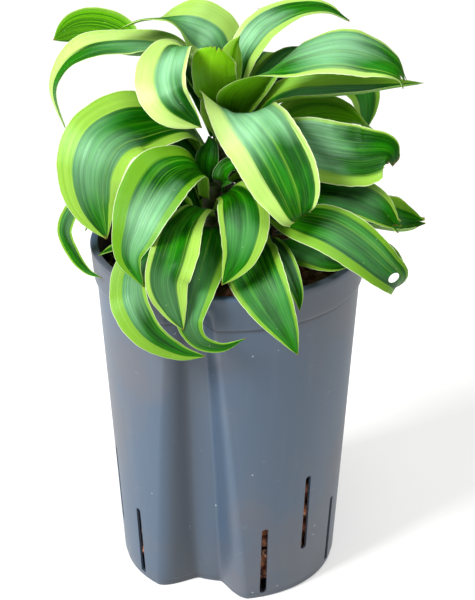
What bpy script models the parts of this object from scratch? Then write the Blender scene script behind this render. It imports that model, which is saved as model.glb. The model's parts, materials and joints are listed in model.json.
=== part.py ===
# Potted dracaena: a variegated plant with three leaf heads in a fluted culture pot.
# Sizes are in millimetres here and become metres as each mesh is made.
# The origin is the middle of the pot's underside, +Z is up and -Y is the front.

import math
import random

import bmesh
import bpy
from mathutils import Matrix, Vector

MM = 0.001
GAP = 0.3

# Culture pot
POT_HEIGHT = 190.0
RIM_RADIUS = 73.0
RIM_LIP = 4.5
COLLAR_HEIGHT = 19.0
COLLAR_FOOT_RADIUS = 71.2
BODY_TOP_RADIUS = 69.8
BASE_RADIUS = 58.0
BASE_STEP_HEIGHT = 3.6
BASE_STEP = 0.6
WALL = 2.0
FLOOR = 2.4
TURN_STEPS = 72

# The flute for the water gauge, pressed into the front left of the wall
FLUTE_AZIMUTH = -106.0
FLUTE_TOP = 184.0
FLUTE_FULL = 176.0
FLUTE_BASE_DEPTH = 18.0
FLUTE_TOP_DEPTH = 8.5
FLUTE_BASE_HALF_ANGLE = 27.0
FLUTE_TOP_HALF_ANGLE = 11.5
FLUTE_SHARE = 60.0
FLUTE_FLAT = 0.3

# Drain slots round the foot of the wall, low and high by turns
SLOT_COUNT = 13
SLOT_PITCH = 24.0
SLOT_FIRST_AZIMUTH = -71.3
SLOT_WIDTH = 4.0
SLOT_SIDES = 8
SLOT_CUTTER_REACH = 40.0
LOW_SLOT = (3.0, 45.5)
HIGH_SLOT = (24.5, 71.5)

# Clay pebbles
PEBBLE_LEVEL = 174.0
PEBBLE_RINGS = 8
PEBBLE_BUMP = 3.0
PEBBLE_SIZE = 13.0
PEBBLE_ROW_PITCH = 0.87
PEBBLE_UNEVEN = 0.2
PEBBLE_LIFT = 1.5
PEBBLE_SPREAD = 0.62
PEBBLE_SEED = 5

# Stems: where each axis stands in the pebbles, where it ends, and its radius
STEM_FOOT = 120.0
STEM_SIDES = 10
STEM_END = 3.0
STEM_END_SHARE = 0.6
STEMS = {
    "upper": {"foot": (-2, 8), "head": (-3, 8, 266), "radius": 5.5},
    "front": {"foot": (-10, -20), "head": (-8, -25, 232), "radius": 5.0},
    "right": {"foot": (17, -8), "head": (20, -16, 226), "radius": 5.0},
}

# Leaves
LEAF_THICKNESS = 0.8
LEAF_ROWS = 12
LEAF_COLUMNS = 4
SMALL_ROWS = 8
SMALL_COLUMNS = 2
TIP_HALF_WIDTH = 0.8
ROOT_CLEARANCE = 0.1
RUFFLE_LAG = 2.0
CURVE_STEPS = 16

# Each leaf: the stem and height that it springs from, the midrib's way to the tip, the way its
# upper face looks along it, half its width, how far it is cupped, and the wave of its edges. Some
# have their two halves of unlike width ("sides"), or a blunt end of its own half width ("end").
LEAVES = {
    # upper head, seen leaves
    "upper_leaf_01": {  # broad leaf in the middle of the front
        "stem": "upper", "height": 243, "width": 19,
        "path": [(1, -5, 254), (2, -11, 265), (6, -22, 268), (15, -35, 263), (23, -47, 254),
                 (30, -57, 242), (34, -63, 232), (36, -57, 227)],
        "face": [(0.4, 0.2, 1), (0.4, -0.1, 1), (0.1, -0.9, 0.5), (0.2, -1, 0.3), (0.2, -1, 0)],
        "base": 0.25, "open": 0.22, "belly": 0.5, "taper": 4.2, "end": 6.5, "root_cup": 0.4, "cup": 0.1,
        "wave": (1.0, 1.5, 0),
    },
    "upper_leaf_02": {  # pale leaf curling down at the left of the head
        "stem": "upper", "height": 256, "width": 14,
        "path": [(-13, 8, 274), (-18, 8, 287), (-27, 3, 296), (-32, -13, 294), (-33, -26, 287),
                 (-28, -33, 278), (-13, -33, 266)],
        "face": [(0, -0.2, 1), (0, 0, 1), (-0.3, -0.3, 0.9), (-0.3, -0.9, 0.4), (-0.1, -0.9, 0.3)],
        "base": 0.25, "belly": 0.65, "taper": 2.4, "cup": 0.1, "wave": (0.6, 1.5, 1),
    },
    "upper_leaf_03": {  # large leaf hanging at the left
        "stem": "upper", "height": 228, "width": 19,
        "path": [(-14, 3, 244), (-24, 0, 256), (-38, -6, 261), (-54, -12, 261), (-67, -20, 255),
                 (-73, -27, 241), (-71, -31, 223), (-62, -34, 205)],
        "face": [(0, -0.1, 1), (-0.1, -0.2, 1), (-0.5, -0.6, 0.7), (-0.5, -0.8, 0.3), (-0.2, -1, 0)],
        "belly": 0.5, "taper": 2.6, "sides": (1.56, 1), "cup": 0.1, "wave": (0.8, 1.5, 2),
    },
    "upper_leaf_04": {  # long leaf arching to the left edge
        "stem": "upper", "height": 247, "width": 13,
        "path": [(-14, 14, 267), (-23, 17, 283), (-37, 18, 291), (-55, 12, 294), (-71, 5, 294),
                 (-83, 1, 287), (-89, -2, 273), (-83, -4, 252)],
        "face": [(0, -0.1, 1), (0, 0, 1), (-0.2, -0.3, 1), (-0.8, -0.4, 0.5), (-1, -0.3, 0)],
        "base": 0.25, "belly": 0.4, "cup": 0.15, "wave": (1.2, 3, 0),
    },
    "upper_leaf_05": {  # back left leaf, its underside to the front
        "stem": "upper", "height": 243, "width": 12,
        "path": [(-15, 20, 258), (-27, 25, 274), (-38, 31, 281), (-49, 35, 284), (-62, 38, 291),
                 (-78, 40, 292), (-92, 42, 285)],
        "face": [(0, 0.1, 1), (0, 0.1, 1), (0, 0.7, 0.8), (-0.1, 1, 0.1), (-0.4, 0.9, 0)],
        "base": 0.25, "belly": 0.7, "taper": 3, "cup": 0.1, "wave": (0.6, 1.5, 0),
    },
    "upper_leaf_06": {  # arch at the top, to the left
        "stem": "upper", "height": 261, "width": 16,
        "path": [(-4, 21, 274), (-3, 22, 284), (-6, 25, 293), (-15, 26, 299), (-30, 22, 304),
                 (-45, 17, 305), (-55, 12, 302)],
        "face": [(0.3, -0.9, 0.3), (0.4, -0.8, 0.4), (0.4, -0.7, 0.5), (0, 0.3, 0.9), (0, 0.6, 0.8)],
        "base": 0.18, "belly": 0.42, "cup": -0.1, "wave": (0.4, 1, 0),
    },
    "upper_leaf_07": {  # arch at the top, to the right
        "stem": "upper", "height": 253, "width": 11,
        "path": [(5, 13, 271), (7, 15, 283), (12, 17, 293), (20, 20, 301), (34, 26, 306),
                 (50, 30, 306), (63, 32, 299)],
        "face": [(-0.3, -0.6, 0.7), (-0.3, -0.6, 0.7), (-0.1, -0.4, 0.9), (0, -0.1, 1), (0.4, 0, 0.9)],
        "base": 0.2, "belly": 0.5, "taper": 3.5, "end": 2.5, "cup": 0.2, "wave": (0.4, 1.5, 0),
    },
    "upper_leaf_08": {  # big leaf to the right
        "stem": "upper", "height": 254, "width": 17,
        "path": [(5, -3, 264), (9, -7, 274), (15, -11, 283), (23, -13, 290), (38, -16, 298), (56, -19, 303),
                 (72, -20, 300), (84, -22, 294), (89, -22, 285)],
        "face": [(-0.1, 0.9, 0.4), (-0.3, 0.5, 0.9), (0, -0.2, 1), (0.2, -0.4, 0.9), (0.6, -0.3, 0.7)],
        "base": 0.33, "open": 0.22, "belly": 0.5, "taper": 4.5, "end": 5, "root_cup": 0.2, "cup": -0.1,
        "wave": (0.8, 2, 0),
    },
    "upper_leaf_09": {  # folded leaf under it, reaching furthest right
        "stem": "upper", "height": 236, "width": 13,
        "path": [(15, 8, 252), (24, 8, 263), (36, 4, 269), (50, -1, 272), (66, -6, 275),
                 (82, -8, 278), (99, -10, 281)],
        "face": [(0, -0.2, 1), (0, -0.2, 1), (0, -0.2, 1), (0, -0.1, 1), (0, 0, 1)],
        "base": 0.2, "belly": 0.45, "cup": 0.5, "wave": (0.4, 2, 0),
    },
    "upper_leaf_10": {  # hanging behind at the right
        "stem": "upper", "height": 233, "width": 12.5,
        "path": [(8, 18, 256), (21, 25, 269), (38, 31, 275), (60, 35, 270), (72, 37, 256),
                 (73, 38, 235)],
        "face": [(0, 0, 1), (0, 0, 1), (0.3, -0.3, 0.9), (0.8, -0.6, 0.3), (0.5, -0.9, 0)],
        "base": 0.2, "belly": 0.7, "taper": 2.4, "cup": 0.1, "wave": (0.4, 1.5, 0),
    },
    "upper_leaf_11": {  # olive underside at the right
        "stem": "upper", "height": 230, "width": 12.5,
        "path": [(16, 11, 242), (30, 13, 250), (46, 12, 256), (61, 9, 256), (78, 4, 248)],
        "face": [(0, 0.3, 0.9), (0, 0.8, 0.6), (0.1, 1, 0.2), (0.2, 0.9, 0.4), (0.3, 0.3, 0.9)],
        "base": 0.3, "belly": 0.5, "cup": 0.1, "wave": (0.4, 1.5, 0),
    },
    "upper_leaf_12": {  # right leaf with its tip turned under
        "stem": "upper", "height": 221, "width": 16,
        "path": [(9, -3, 233), (20, -9, 245), (35, -15, 249), (52, -22, 248), (67, -27, 248),
                 (80, -29, 250), (84, -27, 243)],
        "face": [(0, -0.3, 1), (0, -0.7, 0.8), (0, -0.9, 0.5), (0.1, -0.9, 0.5), (0.6, -0.8, 0.3)],
        "base": 0.25, "belly": 0.6, "taper": 4.5, "end": 6, "cup": 0.1, "wave": (1.0, 2, 0),
    },
    "upper_leaf_13": {  # upright young leaf, its back to the front
        "stem": "upper", "height": 262, "width": 13,
        "path": [(-6, -1, 269), (-8, -4, 281), (-8, -5, 290), (-6, -3, 298)],
        "face": [(0, 1, 0.2), (0, 1, 0), (0, 1, -0.1), (0, 1, -0.2)],
        "base": 0.35, "open": 0.4, "belly": 0.7, "taper": 4, "end": 4, "sides": (0.95, 0.8), "cup": 0.2,
        "wave": (1.2, 1.5, 0),
    },
    "upper_leaf_14": {  # youngest leaf in the heart
        "stem": "upper", "height": 262, "width": 7, "small": True,
        "path": [(0, 6, 275), (1, 7, 286), (3, 8, 294), (6, 10, 299)],
        "face": [(0, 1, 0.2), (0, 1, 0.3), (0, 1, 0.5)],
        "belly": 0.5, "cup": 0.3, "wave": (0, 1, 0),
    },
    "upper_leaf_15": {  # behind the heart, leaning right
        "stem": "upper", "height": 250, "width": 6, "small": True,
        "path": [(4, 24, 268), (10, 31, 283), (14, 37, 297), (16, 41, 303)],
        "face": [(-0.2, -0.9, 0.4), (-0.2, -0.7, 0.7), (0, -0.3, 1)],
        "base": 0.25, "belly": 0.5, "cup": 0.1, "wave": (0.2, 1, 0),
    },
    "upper_leaf_16": {  # pale leaf behind the big right one
        "stem": "upper", "height": 243, "width": 8, "small": True,
        "path": [(11, 14, 262), (21, 19, 276), (31, 23, 285), (44, 28, 287)],
        "face": [(-0.3, -0.6, 0.7), (-0.2, -0.4, 0.9), (0, 0, 1)],
        "base": 0.25, "belly": 0.5, "cup": 0.1, "wave": (0.2, 1, 0),
    },
    # front head, seen leaves
    "front_leaf_01": {  # large leaf at the front left
        "stem": "front", "height": 226, "width": 17,
        "path": [(-14, -30, 241), (-21, -37, 248), (-31, -48, 248), (-39, -57, 239), (-45, -65, 227),
                 (-49, -70, 212), (-42, -73, 197)],
        "face": [(-0.1, -0.6, 0.8), (-0.2, -0.7, 0.7), (-0.3, -0.8, 0.5), (-0.3, -0.9, 0.3),
                 (-0.4, -0.9, 0)],
        "base": 0.25, "belly": 0.45, "taper": 1.7, "cup": 0.1, "wave": (0.8, 1.5, 0),
    },
    "front_leaf_02": {  # hanging in the middle, with a thin tail
        "stem": "front", "height": 219, "width": 13,
        "path": [(0, -33, 231), (6, -46, 233), (8, -61, 225), (6, -71, 215), (2, -74, 207),
                 (-3, -75, 199)],
        "face": [(0, -0.3, 1), (0, -0.6, 0.8), (0.1, -0.9, 0.4), (0, -1, 0.1), (-0.2, -1, 0)],
        "belly": 0.5, "cup": 0.1, "wave": (0.6, 1.5, 0),
    },
    "front_leaf_03": {  # front left, with a crinkled margin
        "stem": "front", "height": 216, "width": 12,
        "path": [(-14, -38, 224), (-22, -56, 222), (-27, -75, 214), (-30, -80, 203), (-27, -83, 191),
                 (-22, -85, 179)],
        "face": [(0, -0.3, 1), (-0.1, -0.6, 0.8), (-0.1, -0.9, 0.5), (0, -1, 0.3), (0.1, -1, 0.1)],
        "belly": 0.55, "taper": 2.4, "cup": 0.15, "wave": (0.8, 5, 0),
    },
    "front_leaf_04": {  # long leaf over the rim with a curled tail
        "stem": "front", "height": 210, "width": 14,
        "path": [(-9, -44, 214), (-12, -60, 209), (-16, -75, 197), (-19, -83, 183), (-14, -85, 173),
                 (-3, -86, 170), (9, -86, 175)],
        "face": [(0, -0.5, 0.9), (0, -0.9, 0.5), (-0.1, -1, 0.2), (-0.1, -1, 0), (-0.1, -1, 0.1)],
        "belly": 0.3, "taper": 1, "cup": 0.1, "wave": (0.6, 2, 0),
    },
    "front_leaf_05": {  # left leaf hanging outside the pot
        "stem": "front", "height": 203, "width": 12,
        "path": [(-24, -34, 204), (-38, -46, 204), (-48, -57, 198), (-49, -70, 188), (-40, -78, 174),
                 (-25, -79, 164), (-11, -79, 161)],
        "face": [(-0.1, -0.3, 1), (-0.4, -0.7, 0.6), (-0.6, -0.9, 0.2), (-0.4, -1, 0), (-0.1, -1, 0)],
        "belly": 0.5, "cup": 0.1, "wave": (0.6, 1.5, 0),
    },
    "front_leaf_06": {  # behind the front left leaf, its underside seen
        "stem": "front", "height": 210, "width": 9, "small": True,
        "path": [(-24, -24, 225), (-42, -29, 230), (-54, -34, 223), (-57, -37, 213)],
        "face": [(0, 0.3, 1), (0.4, 0.4, 0.6), (0.7, 0.5, 0.2)],
        "belly": 0.6, "cup": 0.1, "wave": (0.4, 1, 0),
    },
    "front_leaf_07": {  # dark leaf between the upper and front heads
        "stem": "front", "height": 222, "width": 12.3,
        "path": [(-19, -17, 240), (-31, -16, 251), (-44, -20, 253), (-56, -26, 244)],
        "face": [(0, -0.3, 1), (-0.1, -0.4, 0.9), (-0.3, -0.5, 0.8)],
        "base": 0.25, "belly": 0.5, "cup": 0.1, "wave": (0.4, 1, 0),
    },
    "front_leaf_08": {  # narrow twisted leaf hanging at the far left
        "stem": "front", "height": 207, "width": 5, "small": True,
        "path": [(-36, -16, 220), (-58, -18, 222), (-76, -21, 219), (-84, -23, 206), (-80, -27, 194),
                 (-73, -31, 186), (-65, -36, 184)],
        "face": [(0, 0, 1), (-0.5, 0, 0.8), (-0.9, -0.4, 0), (-0.3, -0.9, 0), (0, -1, 0.3)],
        "belly": 0.6, "cup": 0.2, "wave": (0.8, 2, 0),
    },
    "front_leaf_09": {  # short leaf above the rim at the left
        "stem": "front", "height": 198, "width": 7, "small": True,
        "path": [(-32, -20, 203), (-51, -34, 203), (-66, -45, 201)],
        "face": [(0, 0.2, 1), (0, 0.2, 1), (0, 0.2, 1)],
        "belly": 0.5, "cup": 0.2, "wave": (0.4, 1, 0),
    },
    "front_leaf_12": {  # young upright leaf in the front heart
        "stem": "front", "height": 229, "width": 6, "small": True,
        "path": [(-11, -18, 241), (-9, -15, 249), (-10, -12, 253)],
        "face": [(0, -1, 0.3), (0, -0.9, 0.4), (0, -0.6, 0.8)],
        "belly": 0.5, "cup": 0.2, "wave": (0.2, 1, 0),
    },
    "front_leaf_13": {  # young dark leaf in the front heart
        "stem": "front", "height": 228, "width": 7, "small": True,
        "path": [(-2, -26, 238), (3, -27, 243), (9, -28, 240)],
        "face": [(0, 0, 1), (0, -0.3, 0.9), (0.3, -0.3, 0.8)],
        "belly": 0.5, "cup": 0.2, "wave": (0.2, 1, 0),
    },
    # right head, seen leaves
    "right_leaf_01": {
        "stem": "right", "height": 217, "width": 13,
        "path": [(30, -20, 225), (46, -26, 228), (63, -30, 227), (77, -33, 221), (88, -34, 211)],
        "face": [(0, -0.3, 1), (0, -0.5, 0.9), (0.1, -0.5, 0.9), (0.3, -0.5, 0.8), (0.6, -0.5, 0.6)],
        "belly": 0.5, "taper": 3.2, "end": 4, "cup": 0.1, "wave": (0.6, 1.5, 0),
    },
    "right_leaf_02": {  # far right, cupped
        "stem": "right", "height": 206, "width": 13.5, "small": True,
        "path": [(36, -10, 210), (54, -8, 208), (72, -8, 203), (90, -8, 200), (103, -8, 202)],
        "face": [(0, -0.2, 1), (0, -0.3, 1), (0, -0.2, 1)],
        "belly": 0.7, "taper": 3.5, "end": 3, "cup": 0.7, "wave": (0.6, 1.5, 0),
    },
    "right_leaf_03": {  # large leaf at the lower right, its tip rolled under
        "stem": "right", "height": 212, "width": 13.5,
        "path": [(25, -34, 217), (37, -48, 221), (52, -56, 220), (66, -60, 212), (78, -60, 201),
                 (86, -54, 191), (84, -46, 184), (74, -42, 184)],
        "face": [(0, -0.5, 0.9), (0.1, -0.7, 0.7), (0.3, -0.8, 0.6), (0.6, -0.7, 0.4), (0.5, -0.6, -0.6)],
        "belly": 0.5, "cup": 0.1, "wave": (0.8, 1.5, 0),
    },
    "right_leaf_04": {  # dark leaf behind it
        "stem": "right", "height": 199, "width": 9, "small": True,
        "path": [(40, -18, 203), (62, -24, 201), (85, -26, 191), (92, -28, 178)],
        "face": [(0, -0.2, 1), (0.2, -0.3, 1), (0.8, -0.4, 0.4)],
        "belly": 0.6, "cup": 0.1, "wave": (0.4, 1, 0),
    },
    "right_leaf_05": {  # dark leaf over the rim at the right
        "stem": "right", "height": 195, "width": 12, "small": True,
        "path": [(28, -30, 200), (41, -42, 201), (52, -48, 198), (61, -48, 196)],
        "face": [(0, -0.2, 1), (0, -0.3, 1), (0, -0.4, 0.9)],
        "belly": 0.5, "cup": 0.1, "wave": (0.4, 1, 0),
    },
    "right_leaf_06": {  # small leaf over the rim at the front
        "stem": "right", "height": 199, "width": 6, "small": True,
        "path": [(22, -40, 206), (27, -55, 204), (32, -65, 197), (35, -71, 191), (36, -74, 184)],
        "face": [(0, -0.4, 0.9), (0, -0.9, 0.5), (0, -1, 0.2)],
        "belly": 0.6, "cup": 0.2, "wave": (0.6, 2, 0),
    },
    "right_leaf_07": {  # front leaf hanging over the rim
        "stem": "right", "height": 207, "width": 15,
        "path": [(12, -36, 208), (10, -52, 207), (15, -67.2, 199.4), (22, -78.3, 189.2), (29, -84, 178),
                 (35, -87, 166)],
        "face": [(-0.1, -0.4, 0.9), (-0.1, -0.5, 0.8), (-0.2, -0.9, 0.5), (-0.1, -1, 0.2), (0, -1, 0)],
        "belly": 0.45, "cup": 0.1, "wave": (0.6, 2, 0),
    },
    # leaves at the back, which complete the heads
    "upper_leaf_17": {
        "stem": "upper", "height": 240, "width": 15,
        "path": [(-4, 27, 254), (-10, 46, 266), (-19, 62, 266), (-28, 76, 255), (-33, 84, 239)],
        "face": [(0, -0.3, 1), (0, 0, 1), (-0.3, 0.5, 0.8), (-0.4, 0.8, 0.4), (-0.4, 0.9, 0)],
        "base": 0.2, "belly": 0.5, "cup": 0.1, "wave": (0.8, 1.5, 0),
    },
    "upper_leaf_18": {
        "stem": "upper", "height": 246, "width": 15,
        "path": [(2, 29, 265), (8, 46, 275), (14, 62, 272), (20, 76, 259), (24, 86, 241)],
        "face": [(0, -0.3, 1), (0, 0, 1), (0.3, 0.5, 0.8), (0.5, 0.8, 0.4), (0.5, 0.8, 0)],
        "base": 0.2, "belly": 0.5, "cup": 0.1, "wave": (0.8, 1.5, 1),
    },
    "upper_leaf_19": {
        "stem": "upper", "height": 230, "width": 16,
        "path": [(0, 28, 248), (2, 48, 254), (2, 66, 250), (2, 80, 235), (0, 86, 216)],
        "face": [(0, -0.2, 1), (0, 0.1, 1), (0, 0.6, 0.8), (0, 0.9, 0.4), (0, 1, 0)],
        "base": 0.25, "belly": 0.5, "cup": 0.1, "wave": (0.8, 1.5, 2),
    },
    "upper_leaf_20": {
        "stem": "upper", "height": 222, "width": 15,
        "path": [(-24, 24, 238), (-42, 38, 244), (-58, 50, 238), (-70, 58, 224), (-76, 62, 206)],
        "face": [(0, -0.1, 1), (-0.1, 0.1, 1), (-0.5, 0.5, 0.8), (-0.7, 0.6, 0.4), (-0.8, 0.6, 0)],
        "belly": 0.5, "cup": 0.1, "wave": (0.8, 1.5, 3),
    },
    "upper_leaf_21": {
        "stem": "upper", "height": 217, "width": 15,
        "path": [(20, 26, 233), (39, 37, 240), (57, 46, 236), (68, 53, 221), (73, 58, 204)],
        "face": [(0, -0.1, 1), (0.1, 0.1, 1), (0.5, 0.5, 0.8), (0.7, 0.6, 0.4), (0.8, 0.6, 0)],
        "belly": 0.5, "cup": 0.1, "wave": (0.8, 1.5, 4),
    },
    "upper_leaf_22": {
        "stem": "upper", "height": 213, "width": 15,
        "path": [(-8, 28, 221), (-13, 46, 223), (-18, 62, 216), (-22, 74, 203)],
        "face": [(0, 0, 1), (0, 0.2, 1), (-0.2, 0.7, 0.8), (-0.3, 0.9, 0.4)],
        "base": 0.3, "belly": 0.5, "cup": 0.1, "wave": (0.8, 1.5, 1),
    },
    "right_leaf_08": {
        "stem": "right", "height": 212, "width": 12,
        "path": [(32, 4, 222), (46, 16, 224), (60, 27, 216), (72, 35, 200), (80, 40, 183)],
        "face": [(0, -0.1, 1), (0.1, 0.1, 1), (0.5, 0.3, 0.8), (0.8, 0.4, 0.4), (0.9, 0.4, 0)],
        "belly": 0.5, "cup": 0.1, "wave": (0.6, 1.5, 0),
    },
    "right_leaf_09": {
        "stem": "right", "height": 202, "width": 12,
        "path": [(16, 14, 212), (18, 34, 216), (20, 54, 212), (24, 72, 200), (28, 84, 181)],
        "face": [(0, -0.1, 1), (0, 0.1, 1), (0.1, 0.4, 0.9), (0.1, 0.8, 0.5), (0.1, 0.9, 0)],
        "belly": 0.5, "cup": 0.1, "wave": (0.6, 1.5, 1),
    },
    "front_leaf_10": {
        "stem": "front", "height": 200, "width": 12,
        "path": [(-20, 2, 208), (-28, 22, 213), (-36, 42, 210), (-43, 60, 200), (-47, 72, 182)],
        "face": [(0, -0.1, 1), (-0.1, 0.1, 1), (-0.3, 0.5, 0.8), (-0.5, 0.8, 0.4), (-0.5, 0.8, 0)],
        "belly": 0.5, "cup": 0.1, "wave": (0.6, 1.5, 2),
    },
    "front_leaf_11": {
        "stem": "front", "height": 194, "width": 11,
        "path": [(-28, -8, 202), (-44, 4, 206), (-59, 16, 204), (-71, 27, 194), (-78, 33, 178)],
        "face": [(0, 0, 1), (-0.1, 0, 1), (-0.4, 0.2, 0.9), (-0.8, 0.4, 0.4), (-0.9, 0.4, 0)],
        "belly": 0.5, "cup": 0.1, "wave": (0.6, 1.5, 3),
    },
}

COLLECTION = "potted_dracaena"
CUTTERS = "potted_dracaena_cutters"


# Scene and materials

def clear_scene():
    for item in list(bpy.data.objects):
        bpy.data.objects.remove(item)


def make_collection(name):
    group = bpy.data.collections.new(name)
    bpy.context.scene.collection.children.link(group)
    return group


def make_material(name, colour, roughness, metallic=0.0):
    material = bpy.data.materials.new(name)
    material.use_nodes = True
    shader = material.node_tree.nodes["Principled BSDF"]
    shader.inputs["Base Color"].default_value = (*colour, 1.0)
    shader.inputs["Roughness"].default_value = roughness
    shader.inputs["Metallic"].default_value = metallic
    material.diffuse_color = (*colour, 1.0)
    return material


def add_object(name, mesh, group, material=None):
    item = bpy.data.objects.new(name, mesh)
    group.objects.link(item)
    if material:
        mesh.materials.append(material)
    return item


def shade(mesh, angle=40.0):
    mesh.shade_smooth()
    mesh.set_sharp_from_angle(angle=math.radians(angle))


def smooth_step(low, high, value):
    ratio = min(max((value - low) / (high - low), 0.0), 1.0)
    return ratio * ratio * (3.0 - 2.0 * ratio)


def blend(first, second, ratio):
    return first + (second - first) * ratio


# Turned pieces and the flute

def turn(name, profile, group):
    """A profile of (radius, height) pairs, turned about Z and returned as a closed mesh."""
    mesh = bpy.data.meshes.new(name)
    points = [(radius * MM, 0.0, height * MM) for radius, height in profile]
    mesh.from_pydata(points, [(index, index + 1) for index in range(len(points) - 1)], [])
    guide = add_object(name + "_turn", mesh, group)
    screw = guide.modifiers.new("Turn", "SCREW")
    screw.steps = TURN_STEPS
    screw.render_steps = TURN_STEPS
    screw.use_merge_vertices = True
    screw.merge_threshold = 0.00001
    graph = bpy.context.evaluated_depsgraph_get()
    turned = bpy.data.meshes.new_from_object(guide.evaluated_get(graph))
    bpy.data.objects.remove(guide)
    turned.name = name
    return turned


def body_radius(height):
    return blend(BASE_RADIUS, BODY_TOP_RADIUS, height / (POT_HEIGHT - COLLAR_HEIGHT))


def press_flute(mesh):
    """Crowd the turned columns into the flute and move them in towards the axis there.

    The turned mesh has its flute at azimuth 0, and the flute takes the columns up to FLUTE_SHARE
    degrees from there. A column keeps its place across the flute as the flute narrows upwards.
    """
    for vertex in mesh.vertices:
        radius = math.hypot(vertex.co.x, vertex.co.y) / MM
        height = vertex.co.z / MM
        column = math.degrees(math.atan2(vertex.co.y, vertex.co.x))
        level = min(max(height / FLUTE_FULL, 0.0), 1.0)
        half_angle = blend(FLUTE_BASE_HALF_ANGLE, FLUTE_TOP_HALF_ANGLE, level)
        place = abs(column) / FLUTE_SHARE
        if place < 1.0:
            turned = half_angle * place
            # a flat middle, with both sides rounded off into the wall
            weight = 1.0 - smooth_step(FLUTE_FLAT, 1.0, place)
        else:
            crowding = (180.0 - half_angle) / (180.0 - FLUTE_SHARE)
            turned = half_angle + (abs(column) - FLUTE_SHARE) * crowding
            weight = 0.0
        depth = blend(FLUTE_BASE_DEPTH, FLUTE_TOP_DEPTH, level)
        depth *= 1.0 - smooth_step(FLUTE_FULL, FLUTE_TOP, height)
        depth *= smooth_step(0.0, BASE_RADIUS / 2, radius)
        azimuth = math.radians(FLUTE_AZIMUTH + math.copysign(turned, column))
        reach = (radius - depth * weight) * MM
        vertex.co.x = reach * math.cos(azimuth)
        vertex.co.y = reach * math.sin(azimuth)


# The pot

def pot_profile():
    """The wall's section: up the inner side from the floor, over the rim, down the outer side."""
    collar_foot = POT_HEIGHT - COLLAR_HEIGHT
    inner_top = RIM_RADIUS - RIM_LIP
    inner = [
        (0.0, FLOOR),
        (body_radius(FLOOR) - WALL - 1.0, FLOOR),
        (body_radius(60.0) - WALL, 60.0),
        (body_radius(120.0) - WALL, 120.0),
        (body_radius(collar_foot) - WALL, collar_foot),
        (inner_top - 0.6, FLUTE_FULL),
        (inner_top - 0.4, FLUTE_TOP),
        (inner_top, POT_HEIGHT - 1.0),
        (inner_top + 0.8, POT_HEIGHT),
    ]
    collar_slope = (RIM_RADIUS - COLLAR_FOOT_RADIUS) / COLLAR_HEIGHT
    outer = [
        (RIM_RADIUS - 0.8, POT_HEIGHT),
        (RIM_RADIUS, POT_HEIGHT - 1.0),
        (RIM_RADIUS - collar_slope * (POT_HEIGHT - FLUTE_TOP), FLUTE_TOP),
        (RIM_RADIUS - collar_slope * (POT_HEIGHT - FLUTE_FULL), FLUTE_FULL),
        (COLLAR_FOOT_RADIUS, collar_foot + 0.6),
        (COLLAR_FOOT_RADIUS - 0.6, collar_foot),
        (body_radius(collar_foot) - 0.1, collar_foot - 0.4),
        (body_radius(120.0), 120.0),
        (body_radius(60.0), 60.0),
        (body_radius(BASE_STEP_HEIGHT), BASE_STEP_HEIGHT),
        (body_radius(BASE_STEP_HEIGHT) - BASE_STEP, BASE_STEP_HEIGHT - 0.4),
        (BASE_RADIUS - BASE_STEP, 1.0),
        (BASE_RADIUS - BASE_STEP - 1.0, 0.0),
        (0.0, 0.0),
    ]
    return inner + outer


def add_slot_cutter(number, azimuth, low, high, group):
    """An upright bar with round ends, pushed through the wall along a radius."""
    shape = bmesh.new()
    radius = SLOT_WIDTH / 2 / math.cos(math.pi / SLOT_SIDES)
    bmesh.ops.create_cone(
        shape, cap_ends=True, segments=SLOT_SIDES, radius1=radius * MM, radius2=radius * MM,
        depth=SLOT_CUTTER_REACH * MM, matrix=Matrix.Rotation(math.pi / SLOT_SIDES, 4, "Z"),
    )
    stretch = (high - low - SLOT_WIDTH) / 2 * MM
    for vertex in shape.verts:
        # the bar's axis turns from Z to X, and its halves move apart
        x, y, z = vertex.co
        vertex.co = Vector((z, y, -x + math.copysign(stretch, -x)))
    mesh = bpy.data.meshes.new("slot_cutter")
    shape.to_mesh(mesh)
    shape.free()
    cutter = add_object(f"slot_cutter_{number:02d}", mesh, group)
    middle = (low + high) / 2
    reach = body_radius(middle)
    angle = math.radians(azimuth)
    cutter.location = (reach * math.cos(angle) * MM, reach * math.sin(angle) * MM, middle * MM)
    cutter.rotation_euler = (0.0, 0.0, angle)
    cutter.hide_render = True
    cutter.display_type = "WIRE"


def add_pot(group, cutters, material):
    mesh = turn("culture_pot", pot_profile(), group)
    press_flute(mesh)
    pot = add_object("culture_pot", mesh, group, material)
    for number in range(SLOT_COUNT):
        low, high = HIGH_SLOT if number % 2 else LOW_SLOT
        add_slot_cutter(number, SLOT_FIRST_AZIMUTH + SLOT_PITCH * number, low, high, cutters)
    cut = pot.modifiers.new("Slots", "BOOLEAN")
    cut.operation = "DIFFERENCE"
    cut.operand_type = "COLLECTION"
    cut.collection = cutters
    cut.solver = "EXACT"
    shade(mesh)
    return pot


# The pebbles

def pebble_places():
    """Middles of the pebbles that show, spread evenly but unevenly placed, with a fixed seed."""
    draw = random.Random(PEBBLE_SEED)
    places = []
    reach = int(BODY_TOP_RADIUS // PEBBLE_SIZE) + 1
    for row in range(-reach, reach + 1):
        for column in range(-reach, reach + 1):
            shift = 0.5 if row % 2 else 0.0
            x = (column + shift + draw.uniform(-PEBBLE_UNEVEN, PEBBLE_UNEVEN)) * PEBBLE_SIZE
            y = (row * PEBBLE_ROW_PITCH + draw.uniform(-PEBBLE_UNEVEN, PEBBLE_UNEVEN)) * PEBBLE_SIZE
            places.append((x, y, draw.uniform(-PEBBLE_LIFT, PEBBLE_LIFT)))
    return places


def pebble_height(x, y, places):
    """The top of the nearest pebble, as a rounded bump on the level of the bed."""
    best = 0.0
    for px, py, lift in places:
        spread = math.hypot(x - px, y - py) / (PEBBLE_SIZE * PEBBLE_SPREAD)
        if spread < 1.0:
            best = max(best, (PEBBLE_BUMP + lift) * math.sqrt(1.0 - spread * spread))
    return best


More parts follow.
